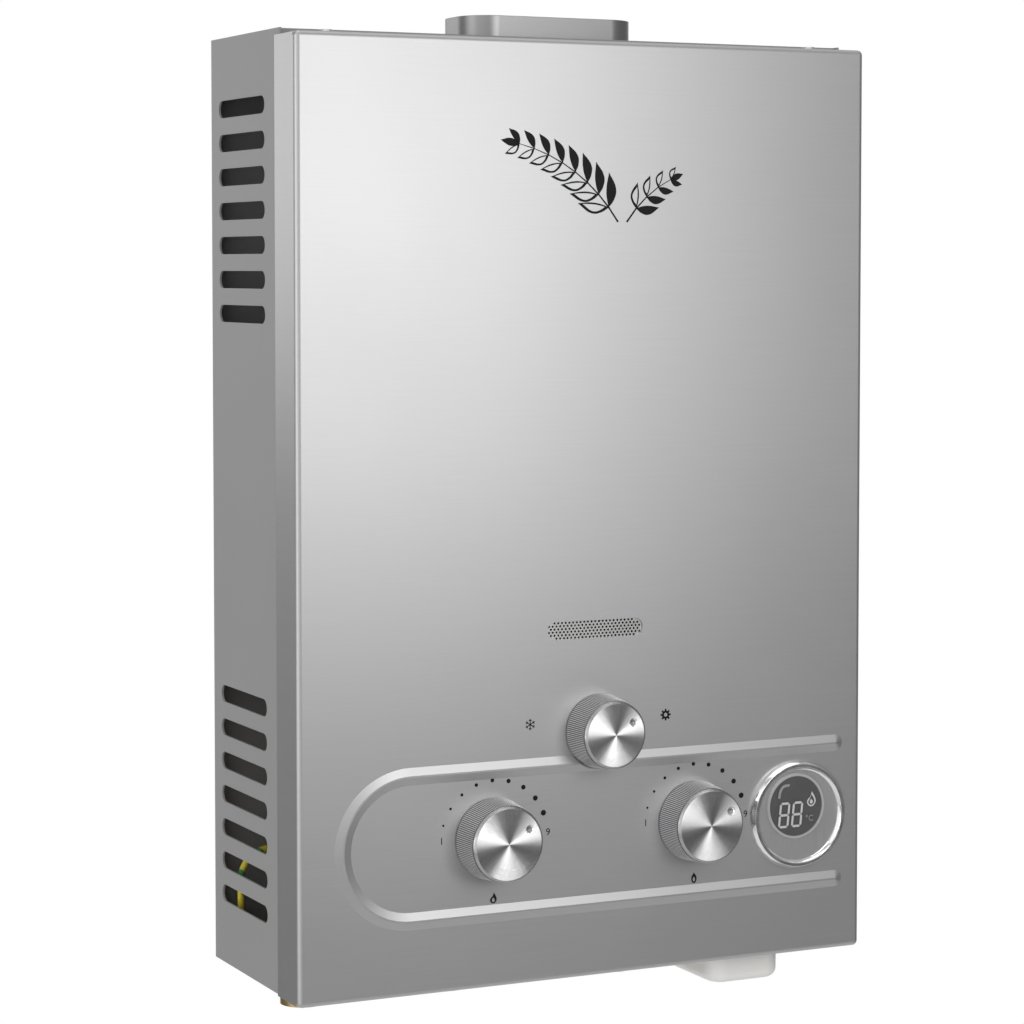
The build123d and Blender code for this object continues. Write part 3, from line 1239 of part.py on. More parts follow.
def display_dial():
    """The dial plate inside the bezel."""
    start = (DISPLAY_X, FRONT_Y - DIAL_SET + DIAL_T, DISPLAY_Z)
    return rod(start, (DISPLAY_X, FRONT_Y - DIAL_SET, DISPLAY_Z), DIAL_R)


def display_window():
    """The dark window of the display, with a slim raised ring, on the dial plate."""
    plane = facing(DISPLAY_X + WINDOW_DX, DISPLAY_Z + WINDOW_DZ, FRONT_Y - DIAL_SET)
    edge = WINDOW_R + WINDOW_RING
    profile = [(0, 0), (edge, 0), (edge, WINDOW_T * 0.4), (edge - 0.4, WINDOW_T)]
    profile += [(WINDOW_R, WINDOW_T), (WINDOW_R - 0.3, WINDOW_T * 0.6), (0, WINDOW_T * 0.6)]
    return turned(plane, profile)


def display_housing():
    """The cup behind the cover that holds the dial, the board and the bezel."""
    plane = facing(DISPLAY_X, DISPLAY_Z, COVER_IN_Y)
    outer = DIAL_R + HOUSING_WALL
    back = -HOUSING_D
    profile = [(0, back), (outer, back), (outer, 0), (DIAL_R, 0), (DIAL_R, back + HOUSING_WALL)]
    profile += [(0, back + HOUSING_WALL)]
    return turned(plane, profile)


def display_board():
    """The display's circuit board, seated on the floor of its housing."""
    back = COVER_IN_Y + HOUSING_D - HOUSING_WALL
    board = rod((DISPLAY_X, back, DISPLAY_Z), (DISPLAY_X, back - BOARD_T, DISPLAY_Z), DIAL_R - BOARD_GAP)
    front = FRONT_Y - DIAL_SET + DIAL_T
    x = DISPLAY_X + WINDOW_DX
    z = DISPLAY_Z + WINDOW_DZ
    half = (LCD_W / 2, LCD_H / 2)
    return board + block((x - half[0], x + half[0]), (front, back - BOARD_T), (z - half[1], z + half[1]))


def battery_box():
    """The fixed battery housing, open below, with a flange on the bottom plate and two hinge ears."""
    x = (BATTERY_X - BATTERY_W / 2, BATTERY_X + BATTERY_W / 2)
    y = (BATTERY_FRONT_Y, BATTERY_BACK_Y)
    box = block(x, y, (CASE_BOTTOM, BOX_TOP))
    box = fillet(box.edges().filter_by(Axis.Z), BOX_EDGE_R)
    wall = BATTERY_WALL
    flange = BOX_FLANGE
    rim_z = (FLOOR_Z, FLOOR_Z + BOX_FLANGE_T)
    box += block((x[0] - flange, x[1] + flange), (y[0] - flange, y[1] + flange), rim_z)
    cavity = block((x[0] + wall, x[1] - wall), (y[0] + wall, y[1] - wall), (CASE_BOTTOM - 1, BOX_TOP - wall))
    box -= fillet(cavity.edges().filter_by(Axis.Z), CAVITY_EDGE_R)
    for side in (-1, 1):
        near = side * (BATTERY_W / 2 + HINGE_SIDE_GAP)
        ear_x = sorted((BATTERY_X + near, BATTERY_X + near + side * HINGE_EAR_T))
        ear_y = (HINGE_Y - HINGE_EAR_R, HINGE_Y + HINGE_EAR_R)
        box += block(ear_x, ear_y, (HINGE_Z, rim_z[1]))
        ends = ((ear_x[0], HINGE_Y, HINGE_Z), (ear_x[1], HINGE_Y, HINGE_Z))
        box += rod(*ends, HINGE_EAR_R)
        ends = ((ear_x[0] - 1, HINGE_Y, HINGE_Z), (ear_x[1] + 1, HINGE_Y, HINGE_Z))
        box -= rod(*ends, HINGE_PIN_R + RUN_FIT)
    return box


def battery_cover():
    """The battery lid: a rounded tray below the case, with two hinge pins at the back."""
    x = (BATTERY_X - BATTERY_W / 2, BATTERY_X + BATTERY_W / 2)
    y = (BATTERY_FRONT_Y, BATTERY_BACK_Y)
    top = CASE_BOTTOM - TRAY_GAP
    tray = block(x, y, (TRAY_BOTTOM, top))
    uprights = tray.edges().filter_by(Axis.Z).sort_by(Axis.Y)
    tray = fillet(uprights[0:2], TRAY_CORNER_R)
    tray = fillet(tray.edges().filter_by(Axis.Z).sort_by(Axis.Y)[-2:], CAVITY_EDGE_R)
    tray = fillet(tray.faces().sort_by(Axis.Z)[0].edges(), TRAY_EDGE_R)
    wall = BATTERY_WALL
    cavity = block((x[0] + wall, x[1] - wall), (y[0] + wall, y[1] - wall), (TRAY_BOTTOM + wall, top + 1))
    cavity = fillet(cavity.edges().filter_by(Axis.Z).sort_by(Axis.Y)[0:2], TRAY_CORNER_R - wall)
    tray -= cavity
    tray -= block((x[0] - 1, x[1] + 1), (HINGE_Y, y[1] + 1), (HINGE_Z - REAR_WALL_GAP, top + 1))
    for side in (-1, 1):
        near = BATTERY_X + side * (BATTERY_W / 2 - wall)
        edge = BATTERY_X + side * BATTERY_W / 2
        far = BATTERY_X + side * (BATTERY_W / 2 + HINGE_SIDE_GAP + HINGE_EAR_T)
        tray += rod((near, HINGE_Y, HINGE_Z), (edge, HINGE_Y, HINGE_Z), KNUCKLE_R)
        tray += rod((near, HINGE_Y, HINGE_Z), (far, HINGE_Y, HINGE_Z), HINGE_PIN_R)
    return tray


def batteries():
    """Two large round cells, standing one behind the other."""
    group = []
    first = BATTERY_FRONT_Y + BATTERY_WALL + CELL_GAP + CELL_R
    for y in (first, first + 2 * CELL_R + CELL_GAP):
        cell = rod((BATTERY_X, y, CELL_BOTTOM), (BATTERY_X, y, CELL_BOTTOM + CELL_L), CELL_R)
        cell += rod((BATTERY_X, y, CELL_BOTTOM + CELL_L), (BATTERY_X, y, CELL_BOTTOM + CELL_L + NUB_H), NUB_R)
        group.append(cell)
    return group


NODES = {
    "front_cover": front_cover,
    "rear_case": rear_case,
    "case_top_plate": case_top_plate,
    "case_bottom_plate": case_bottom_plate,
    "case_screws": case_screws,
    "sight_grille": sight_grille,
    "sight_glass": sight_glass,
    "flue_collar": flue_collar,
    "flue_hood": flue_hood,
    "combustion_chamber": combustion_chamber,
    "fin_block": fin_block,
    "exchanger_coil": exchanger_coil,
    "cold_pipe": cold_pipe,
    "hot_pipe": hot_pipe,
    "pipe_nuts": pipe_nuts,
    "mounting_brackets": mounting_brackets,
    "burner_frame": burner_frame,
    "burner_blades": burner_blades,
    "gas_manifold": gas_manifold,
    "gas_injectors": gas_injectors,
    "season_valve_body": season_valve_body,
    "gas_valve_body": gas_valve_body,
    "valve_caps": valve_caps,
    "water_valve_body": water_valve_body,
    "water_valve_cover": water_valve_cover,
    "diaphragm": diaphragm,
    "valve_screws": valve_screws,
    "push_rod": push_rod,
    "micro_switch": micro_switch,
    "micro_switch_lever": micro_switch_lever,
    "solenoid_body": solenoid_body,
    "solenoid_plunger": solenoid_plunger,
    "gas_inlet_fitting": gas_inlet_fitting,
    "cold_inlet_fitting": cold_inlet_fitting,
    "hot_outlet_fitting": hot_outlet_fitting,
    "relief_valve": relief_valve,
    "port_grommets": port_grommets,
    "igniter_box": igniter_box,
    "electrodes": electrodes,
    "ignition_leads": ignition_leads,
    "earth_wire": earth_wire,
    "overheat_thermostat": overheat_thermostat,
    "gas_spindle": gas_spindle,
    "water_spindle": water_spindle,
    "season_spindle": season_spindle,
    "gas_knob": lambda: knob(GAS_X, ROW_Z, KNOB_BASE_R, KNOB_TOP_R),
    "water_knob": lambda: knob(WATER_X, ROW_Z, KNOB_BASE_R, KNOB_TOP_R),
    "season_knob": lambda: knob(SEASON_X, SEASON_Z, SEASON_BASE_R, SEASON_TOP_R),
    "gas_knob_cap": lambda: knob_cap(GAS_X, ROW_Z, KNOB_TOP_R),
    "water_knob_cap": lambda: knob_cap(WATER_X, ROW_Z, KNOB_TOP_R),
    "season_knob_cap": lambda: knob_cap(SEASON_X, SEASON_Z, SEASON_TOP_R),
    "display_bezel": display_bezel,
    "display_dial": display_dial,
    "display_window": display_window,
    "display_housing": display_housing,
    "display_board": display_board,
    "battery_box": battery_box,
    "battery_cover": battery_cover,
    "batteries": batteries,
}

os.makedirs("parts", exist_ok=True)
for name, build in NODES.items():
    made = build()
    solids = made if isinstance(made, list) else [made]
    whole = Compound(children=[solid for piece in solids for solid in piece.solids()])
    export_step(whole, f"parts/{name}.step")
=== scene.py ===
import bpy
import math
from mathutils import Matrix, Vector


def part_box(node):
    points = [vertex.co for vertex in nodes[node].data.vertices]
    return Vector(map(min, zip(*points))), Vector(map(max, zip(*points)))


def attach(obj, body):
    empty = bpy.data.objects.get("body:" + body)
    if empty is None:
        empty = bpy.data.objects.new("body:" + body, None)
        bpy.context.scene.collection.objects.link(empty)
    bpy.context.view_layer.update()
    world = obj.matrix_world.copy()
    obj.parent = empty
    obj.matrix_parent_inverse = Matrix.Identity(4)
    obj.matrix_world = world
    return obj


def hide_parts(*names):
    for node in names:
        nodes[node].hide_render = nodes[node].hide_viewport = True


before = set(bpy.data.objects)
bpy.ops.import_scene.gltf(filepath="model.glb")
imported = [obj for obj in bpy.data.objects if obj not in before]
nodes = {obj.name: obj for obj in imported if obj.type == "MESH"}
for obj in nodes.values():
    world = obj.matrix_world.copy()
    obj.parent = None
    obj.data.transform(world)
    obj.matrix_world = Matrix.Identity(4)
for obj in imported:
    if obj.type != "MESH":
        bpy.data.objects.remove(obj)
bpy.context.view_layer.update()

MM = 0.001


def middle(node):
    """The centre of a node's box."""
    low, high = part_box(node)
    return (low + high) / 2


# Places that the prints and finishes are set out from
GAS = middle("gas_knob")
WATER = middle("water_knob")
SEASON = middle("season_knob")
WINDOW = middle("display_window")
BEAD_RISE = 1.2 * MM
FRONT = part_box("front_cover")[0].y + BEAD_RISE

# Knobs and their spun caps
GROOVE_DEPTH = 0.35 * MM
CAP_CHAMFER = 1.1 * MM
DIMPLE_ANGLE = math.radians(31.0)
DIMPLE_INSET = 5.25 * MM
DIMPLE_R = 1.75 * MM
LIP_OUT, LIP_IN = 0.50 * MM, 0.25 * MM
# Painted reflection on the spun caps: how many light and dark sectors, their turn, the bump tilt
# that follows them, and their painted tones
SECTORS = 3.0
SECTOR_TURN = math.radians(30.0)
SECTOR_TILT = 0.13
PAINTED_SHEEN_STOPS = [(0.0, 0.16), (0.3, 0.30), (0.62, 0.76), (1.0, 1.0)]

# The pale rim of the display window
RIM_IN, RIM_OUT = 14.1 * MM, 14.5 * MM


class Wire:
    """An output of a shader node. Arithmetic on wires adds Math nodes."""

    def __init__(self, coat, socket):
        self.coat = coat
        self.socket = socket

    def reckon(self, operation, *values):
        return self.coat.node("ShaderNodeMath", {"operation": operation}, values)

    def __add__(self, other):
        return self.reckon("ADD", self, other)

    def __radd__(self, other):
        return self.reckon("ADD", other, self)

    def __sub__(self, other):
        return self.reckon("SUBTRACT", self, other)

    def __rsub__(self, other):
        return self.reckon("SUBTRACT", other, self)

    def __mul__(self, other):
        return self.reckon("MULTIPLY", self, other)

    def __rmul__(self, other):
        return self.reckon("MULTIPLY", other, self)

    def __pow__(self, other):
        return self.reckon("POWER", self, other)

    def at_least(self, other):
        return self.reckon("MAXIMUM", self, other)

    def at_most(self, other):
        return self.reckon("MINIMUM", self, other)

    def above(self, other):
        return self.reckon("GREATER_THAN", self, other)

    def size(self):
        return self.reckon("ABSOLUTE", self)

    def step(self, low, high):
        """0 at low and 1 at high, with a smooth change between them. Low may be the larger."""
        settings = {"interpolation_type": "SMOOTHSTEP", "clamp": True}
        return self.coat.node("ShaderNodeMapRange", settings, (self, low, high, 0.0, 1.0))


class Coat:
    """A material, or the world, while its nodes are being set."""

    def __init__(self, owner):
        owner.use_nodes = True
        self.owner = owner
        self.tree = owner.node_tree
        self.tree.nodes.clear()

    def node(self, kind, settings=None, inputs=(), output=0):
        """A node of any kind: its settings come first, then its sockets' values or links."""
        made = self.tree.nodes.new(kind)
        for name, value in (settings or {}).items():
            if name == "stops":
                self.set_stops(made.color_ramp, value)
            else:
                setattr(made, name, value)
        pairs = inputs.items() if isinstance(inputs, dict) else enumerate(inputs)
        for key, value in pairs:
            if isinstance(value, Wire):
                self.tree.links.new(value.socket, made.inputs[key])
            else:
                made.inputs[key].default_value = value
        return Wire(self, made.outputs[output]) if made.outputs else None

    @staticmethod
    def set_stops(ramp, stops):
        """Gives a colour ramp its grey stops. A new ramp already has two."""
        for index, (place, level) in enumerate(stops):
            stop = ramp.elements[index] if index < 2 else ramp.elements.new(place)
            stop.position = place
            stop.color = grey(level)

    def place(self, kind="Object"):
        """The shaded point in metres, and its X, Y and Z."""
        point = self.node("ShaderNodeTexCoord", output=kind)
        parts = self.node("ShaderNodeSeparateXYZ", None, (point,))
        return point, [Wire(self, parts.socket.node.outputs[axis]) for axis in range(3)]

    def join(self, x, y, z):
        return self.node("ShaderNodeCombineXYZ", None, (x, y, z))

    def stretched(self, point, factors):
        """The point scaled by its own factor on each axis."""
        return self.node("ShaderNodeVectorMath", {"operation": "MULTIPLY"}, (point, factors))

    def noise(self, point, scale, detail=2.0, rough=0.5):
        inputs = {"Vector": point, "Scale": scale, "Detail": detail, "Roughness": rough}
        return self.node("ShaderNodeTexNoise", {"noise_dimensions": "3D"}, inputs)

    def mix(self, factor, first, second):
        """Two colours mixed."""
        settings = {"data_type": "RGBA", "clamp_factor": True}
        return self.node("ShaderNodeMix", settings, {0: factor, 6: first, 7: second}, 2)

    def bump(self, height, distance, strength=1.0):
        """A height in metres, times distance, as a tilt of the surface."""
        inputs = {"Strength": strength, "Distance": distance, "Height": height}
        return self.node("ShaderNodeBump", None, inputs)

    def surface(self, colour, roughness, metallic=0.0, **more):
        """The closing shader, from values or wires."""
        inputs = {"Base Color": colour, "Roughness": roughness, "Metallic": metallic}
        inputs.update({name.replace("_", " "): value for name, value in more.items()})
        shader = self.node("ShaderNodeBsdfPrincipled", None, inputs)
        self.node("ShaderNodeOutputMaterial", None, {"Surface": shader})
        return self.owner


def coat(name):
    return Coat(bpy.data.materials.new(name))


def grey(level, blue=1.0):
    """A grey, with its blue made a little stronger or weaker."""
    return (level, level, level * blue, 1.0)


def darker(colour, share):
    return tuple(part * share for part in colour[:3]) + (1.0,)


def stainless(name, level, rough):
    """Brushed stainless sheet: fine level grain, and soft clouds in its shine."""
    c = coat(name)
    point, _ = c.place()
    grain = c.noise(c.stretched(point, (18.0, 18.0, 1500.0)), 1.0, 3.0, 0.7)
    fine = c.noise(c.stretched(point, (60.0, 60.0, 6000.0)), 1.0, 2.0, 0.6)
    cloud = c.noise(point, 9.0, 2.0, 0.5)
    painted_sheen_and_rings = 0.90 + 0.12 * grain + 0.05 * fine + 0.04 * cloud
    colour = c.mix(painted_sheen_and_rings - 0.5, grey(level * 0.55, 1.005), grey(level * 1.45, 1.01))
    roughness = rough + 0.05 * (cloud - 0.5) + 0.04 * (grain - 0.5)
    normal = c.bump(grain * 0.7 + fine * 0.3, 0.00002, 0.35)
    return c.surface(colour, roughness, 1.0, Normal=normal)


def painted(name, level, rough):
    """Silver-grey stove paint with a faint orange peel."""
    c = coat(name)
    point, _ = c.place()
    peel = c.noise(point, 900.0, 2.0, 0.5)
    cloud = c.noise(point, 14.0, 3.0, 0.5)
    colour = c.mix(cloud, grey(level * 0.96), grey(level * 1.04))
    normal = c.bump(peel, 0.00003, 0.25)
    return c.surface(colour, rough + 0.06 * (cloud - 0.5), 0.0, Normal=normal)


def plain_metal(name, colour, rough, scale=70.0):
    """Cast or drawn metal with a slightly uneven shine."""
    c = coat(name)
    point, _ = c.place()
    cloud = c.noise(point, scale, 4.0, 0.6)
    mixed = c.mix(cloud, darker(colour, 0.82), colour)
    normal = c.bump(cloud, 0.00006, 0.2)
    return c.surface(mixed, rough + 0.16 * (cloud - 0.5), 1.0, Normal=normal)


def plastic(name, colour, rough, grain_scale=1800.0, depth=0.00002):
    """Moulded plastic with a fine grain."""
    c = coat(name)
    point, _ = c.place()
    grain = c.noise(point, grain_scale, 2.0, 0.5)
    cloud = c.noise(point, 25.0, 2.0, 0.5)
    mixed = c.mix(cloud, darker(colour, 0.93), colour)
    normal = c.bump(grain, depth, 0.4)
    return c.surface(mixed, rough + 0.08 * (grain - 0.5), 0.0, Normal=normal)


def spun_face(name, centre, rim, dimple):
    """A spun metal disc: painted reflection in light and dark sectors, fine rings, a smooth rim,
    and a lipped dimple with painted shade inside and a painted highlight on its lip.
    """
    c = coat(name)
    point, (x, _, z) = c.place()
    across = x - centre.x
    up = z - centre.z
    reach = (across * across + up * up) ** 0.5
    angle = up.reckon("ARCTAN2", up, across)
    ring = c.noise(c.join(reach * 9000.0, angle * 0.6, 0.0), 1.0, 1.0, 0.5)
    streak = c.noise(c.join(reach * 400.0, angle * 9.0, 3.0), 1.0, 3.0, 0.6)
    # Painted reflection: light and dark sectors in the base colour, with streaks and fine rings
    # added
    reflection_sectors = angle.reckon("COSINE", (angle - SECTOR_TURN) * SECTORS)
    painted_sheen_and_rings = (reflection_sectors * 0.5 + 0.5) ** 1.1 * 0.86 + 0.12 * streak + 0.06 * ring
    painted_sheen_and_rings = painted_sheen_and_rings.at_least(0.0).at_most(1.0)
    colour = c.node("ShaderNodeValToRGB", {"stops": PAINTED_SHEEN_STOPS}, (painted_sheen_and_rings,))

    edge = reach.above(rim)
    aside = across - dimple * math.cos(DIMPLE_ANGLE)
    over = up - dimple * math.sin(DIMPLE_ANGLE)
    from_dimple = (aside * aside + over * over) ** 0.5
    # Painted shade inside the dimple and a painted highlight on its lip
    lip_glint = (from_dimple - DIMPLE_R).size().step(LIP_OUT, LIP_IN)
    dimple_shade = 1.0 - from_dimple.above(DIMPLE_R)
    polished = edge.at_least(lip_glint)
    colour = c.mix(dimple_shade, colour, grey(0.30))
    colour = c.mix(edge, colour, grey(0.42))
    colour = c.mix(lip_glint, colour, grey(0.90))
    roughness = (0.42 + 0.05 * (ring - 0.5)) * (1.0 - polished) + 0.20 * polished
    normal = c.bump(ring * 0.000004 - up * SECTOR_TILT * painted_sheen_and_rings, 1.0)
    return c.surface(colour, roughness, 1.0, Normal=normal)


def ribbed_skirt(name, centre, back, back_r, front, front_r):
    """A silvered knob skirt with painted shade in its grooves; it tapers from back_r to front_r.
    """
    c = coat(name)
    point, (x, y, z) = c.place()
    across = x - centre.x
    up = z - centre.z
    crest = front_r + (y - front) * ((back_r - front_r) / (back - front))
    depth = crest - (across * across + up * up) ** 0.5
    # Painted shade in the grooves: the colour darkens with the depth below the crests
    groove_shade = depth.step(0.05 * GROOVE_DEPTH, 0.75 * GROOVE_DEPTH)
    cloud = c.noise(point, 300.0, 4.0, 0.6)
    colour = c.mix(groove_shade, grey(0.94), grey(0.16))
    return c.surface(colour, 0.30 + 0.10 * cloud, 0.95)


def chrome(name):
    """Polished plating, not quite even."""
    c = coat(name)
    point, _ = c.place()
    swell = c.noise(point, 150.0, 1.0, 0.4)
    mark = c.noise(point, 900.0, 3.0, 0.5)
    normal = c.bump(swell, 0.0010, 0.5)
    colour = c.mix(mark, grey(0.80), grey(0.90))
    return c.surface(colour, 0.05 + 0.05 * mark, 1.0, Normal=normal)


def brushed_dial(name):
    """Light grey dial plate with upright brushing."""
    c = coat(name)
    point, _ = c.place()
    grain = c.noise(c.stretched(point, (3500.0, 100.0, 60.0)), 1.0, 3.0, 0.6)
    colour = c.mix(grain, grey(0.36), grey(0.62))
    normal = c.bump(grain, 0.00002, 0.3)
    return c.surface(colour, 0.42, 0.8, Normal=normal)


def copper(name):
    """Copper with darker clouds from heat."""
    c = coat(name)
    point, _ = c.place()
    cloud = c.noise(point, 40.0, 4.0, 0.6)
    colour = c.mix(cloud.step(0.35, 0.7), (0.62, 0.30, 0.17, 1.0), (0.34, 0.15, 0.09, 1.0))
    return c.surface(colour, 0.32 + 0.2 * cloud, 1.0)


def striped_sleeve(name):
    """Yellow wire sleeve with a green stripe that winds along it."""
    c = coat(name)
    _, (x, y, z) = c.place()
    phase = (x + y * 0.6 + z) * 330.0
    turn = phase.reckon("SINE", phase)
    colour = c.mix(turn.step(0.3, 0.5), (0.78, 0.66, 0.05, 1.0), (0.07, 0.30, 0.08, 1.0))
    return c.surface(colour, 0.45)


def ink(name):
    """Black screen print, a little uneven at close range."""
    c = coat(name)
    point, _ = c.place()
    speck = c.noise(point, 2500.0, 2.0, 0.5)
    colour = c.mix(speck, grey(0.004), grey(0.012))
    return c.surface(colour, 0.62 + 0.1 * speck, 0.0, Specular_IOR_Level=0.2)


def dark_glass(name):
    """The smoked display window with its paler rim."""
    c = coat(name)
    point, (x, _, z) = c.place()
    cloud = c.noise(point, 120.0, 2.0, 0.5)
    colour = c.mix(cloud, grey(0.075), grey(0.105))
    across = x - WINDOW.x
    up = z - WINDOW.z
    rim = ((across * across + up * up) ** 0.5).step(RIM_IN, RIM_OUT)
    colour = c.mix(rim, colour, grey(0.42))
    return c.surface(colour, 0.20 + 0.06 * cloud, 0.0, Coat_Weight=0.4)


def lit_segment(name, level):
    """A display segment: pale, with a faint glow."""
    c = coat(name)
    point, _ = c.place()
    cloud = c.noise(point, 600.0, 2.0, 0.5)
    colour = c.mix(cloud, grey(level * 0.9), grey(level))
    glow = {"Emission_Color": grey(1.0), "Emission_Strength": level * 0.12}
    return c.surface(colour, 0.5, 0.0, **glow)


def clear_strip(name):
    """Heat-proof window strip."""
    c = coat(name)
    point, _ = c.place()
    haze = c.noise(point, 60.0, 3.0, 0.5)
    return c.surface(grey(0.92), 0.05 + 0.15 * haze, 0.0, Transmission_Weight=0.85)


FINISH = {
    "steel": stainless("brushed_stainless", 0.50, 0.46),
    "paint": painted("silver_case_paint", 0.285, 0.60),
    "inner": plain_metal("galvanised_sheet", (0.40, 0.41, 0.42, 1.0), 0.45),
    "zinc": plain_metal("zinc_plated_steel", (0.55, 0.55, 0.54, 1.0), 0.35),
    "mesh": plain_metal("perforated_sheet", (0.58, 0.58, 0.57, 1.0), 0.40),
    "burner": plain_metal("burner_sheet", (0.36, 0.35, 0.34, 1.0), 0.42),
    "casting": plain_metal("die_cast_alloy", (0.52, 0.52, 0.53, 1.0), 0.55, 250.0),
    "brass": plain_metal("turned_brass", (0.66, 0.48, 0.22, 1.0), 0.30),
    "copper": copper("drawn_copper"),
    "rubber": plastic("black_rubber", (0.020, 0.020, 0.021, 1.0), 0.75),
    "ceramic": plastic("glazed_ceramic", (0.80, 0.78, 0.72, 1.0), 0.22, 300.0),
    "sleeve": plastic("white_lead_sleeve", (0.62, 0.60, 0.55, 1.0), 0.55),
    "earth": striped_sleeve("yellow_green_sleeve"),
    "control": plastic("dark_moulding", (0.035, 0.036, 0.040, 1.0), 0.50),
    "chrome": chrome("polished_chrome"),
    "dial": brushed_dial("brushed_dial_plate"),
    "glass": dark_glass("smoked_window"),
    "clear": clear_strip("clear_heat_strip"),
    "board": plastic("green_circuit_board", (0.03, 0.14, 0.06, 1.0), 0.40),
    "tray": plastic("pale_tray_plastic", (0.88, 0.87, 0.845, 1.0), 0.42, 1500.0, 0.00003),
    "flue": stainless("brushed_flue_sheet", 0.30, 0.40),
    "cell": plastic("plain_cell_sleeve", (0.05, 0.06, 0.09, 1.0), 0.30),
    "ink": ink("black_print"),
    "lit": lit_segment("pale_segment", 0.50),
    "dim": lit_segment("dim_segment", 0.26),
}

# CAD nodes that keep their own mesh
NODE_FINISH = {
    "inner": ["flue_hood", "mounting_brackets", "valve_caps", "solenoid_body"],
    "zinc": ["push_rod", "micro_switch_lever", "solenoid_plunger", "valve_screws"],
    "burner": ["burner_frame", "burner_blades"],
    "casting": ["gas_manifold", "season_valve_body", "gas_valve_body"],
    "brass": ["pipe_nuts", "gas_injectors", "water_valve_body", "water_valve_cover",
              "relief_valve", "gas_spindle", "water_spindle", "season_spindle"],
    "copper": ["combustion_chamber", "fin_block", "exchanger_coil", "cold_pipe", "hot_pipe"],
    "rubber": ["diaphragm"],
    "ceramic": ["electrodes"],
    "sleeve": ["ignition_leads"],
    "earth": ["earth_wire"],
    "control": ["micro_switch", "igniter_box", "overheat_thermostat", "display_housing"],
    "clear": ["sight_glass"],
    "board": ["display_board"],
    "cell": ["batteries"],
}

# CAD nodes that a finer copy replaces: node, finish, body and edge radius in millimetres
CASE_PIECES = [
    ("rear_case", "paint", "case", 0.25),
    ("case_top_plate", "paint", "case", 0.20),
    ("case_bottom_plate", "paint", "case", 0.20),
    ("flue_collar", "flue", "case", 0.30),
    ("sight_grille", "mesh", "case", 0.0),
    ("case_screws", "zinc", "case", 0.15),
    ("port_grommets", "rubber", "case", 0.20),
    ("battery_box", "control", "case", 0.20),
    ("battery_cover", "tray", "battery_lid", 0.15),
    ("gas_inlet_fitting", "brass", "case", 0.25),
    ("cold_inlet_fitting", "brass", "case", 0.25),
    ("hot_outlet_fitting", "brass", "case", 0.25),
]
DISPLAY_PIECES = [
    ("display_bezel", "chrome", "case", 0.10),
    ("display_dial", "dial", "case", 0.0),
    ("display_window", "glass", "case", 0.0),
]
COVER_EDGE = 0.18
SKIRT_EDGE = 0.06
CAP_EDGE = 0.12

# How meshes are cleaned
DOUBLES = 0.002 * MM
PRINT_DOUBLES = 0.005 * MM
FLAT_ANGLE = math.radians(0.5)
BEVEL_ANGLE = math.radians(40.0)
SMOOTH_ANGLE = math.radians(32.0)
FOLD_ANGLE = math.radians(12.0)


def dress(piece, finish):
    """Gives a piece one material."""
    piece.data.materials.clear()
    piece.data.materials.append(FINISH[finish])


def activate(piece):
    """Makes one piece the only selected one."""
    bpy.ops.object.select_all(action="DESELECT")
    piece.select_set(True)
    bpy.context.view_layer.objects.active = piece


def new_piece(name, mesh):
    piece = bpy.data.objects.new(name, mesh)
    bpy.context.scene.collection.objects.link(piece)
    activate(piece)
    return piece


def settle(piece):
    """Applies a piece's place, turn and size to its mesh."""
    activate(piece)
    bpy.ops.object.transform_apply(location=True, rotation=True, scale=True)


def crease(piece, depth):
    """Keeps the low folds in front of a depth crisp, such as those of the raised bead."""
    bpy.ops.object.mode_set(mode="EDIT")
    bpy.ops.mesh.select_mode(type="EDGE")
    bpy.ops.mesh.select_all(action="DESELECT")
    bpy.ops.mesh.edges_select_sharp(sharpness=FOLD_ANGLE)
    bpy.ops.object.mode_set(mode="OBJECT")
    points = piece.data.vertices
    for edge in piece.data.edges:
        if edge.select and all(points[index].co.y < depth for index in edge.vertices):
            edge.use_edge_sharp = True


def smooth(piece, crease_depth=None):
    """Smooth shading, with the flats kept flat beside their rounded edges."""
    activate(piece)
    bpy.ops.object.shade_smooth_by_angle(angle=SMOOTH_ANGLE)
    if crease_depth is not None:
        crease(piece, crease_depth)
    flats = piece.modifiers.new("flats", "WEIGHTED_NORMAL")
    flats.keep_sharp = True
    flats.weight = 100
    bpy.ops.object.modifier_apply(modifier=flats.name)


def bevelled(piece, width):
    """Rounds a piece's sharp edges."""
    activate(piece)
    soft = piece.modifiers.new("edges", "BEVEL")
    soft.width = width
    soft.segments = 2
    soft.limit_method = "ANGLE"
    soft.angle_limit = BEVEL_ANGLE
    soft.use_clamp_overlap = True
    bpy.ops.object.modifier_apply(modifier=soft.name)


def finished(node, finish, body, edge, crease_depth=None):
    """A clean copy of a node's shape: doubles merged, flats made whole, edges rounded."""
    piece = new_piece(node + "_finish", nodes[node].data.copy())
    bpy.ops.object.mode_set(mode="EDIT")
    bpy.ops.mesh.select_all(action="SELECT")
    bpy.ops.mesh.remove_doubles(threshold=DOUBLES)
    bpy.ops.mesh.dissolve_limited(angle_limit=FLAT_ANGLE)
    bpy.ops.object.mode_set(mode="OBJECT")
    if edge > 0:
        bevelled(piece, edge * MM)
    smooth(piece, crease_depth)
    dress(piece, finish)
    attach(piece, body)
    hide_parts(node)


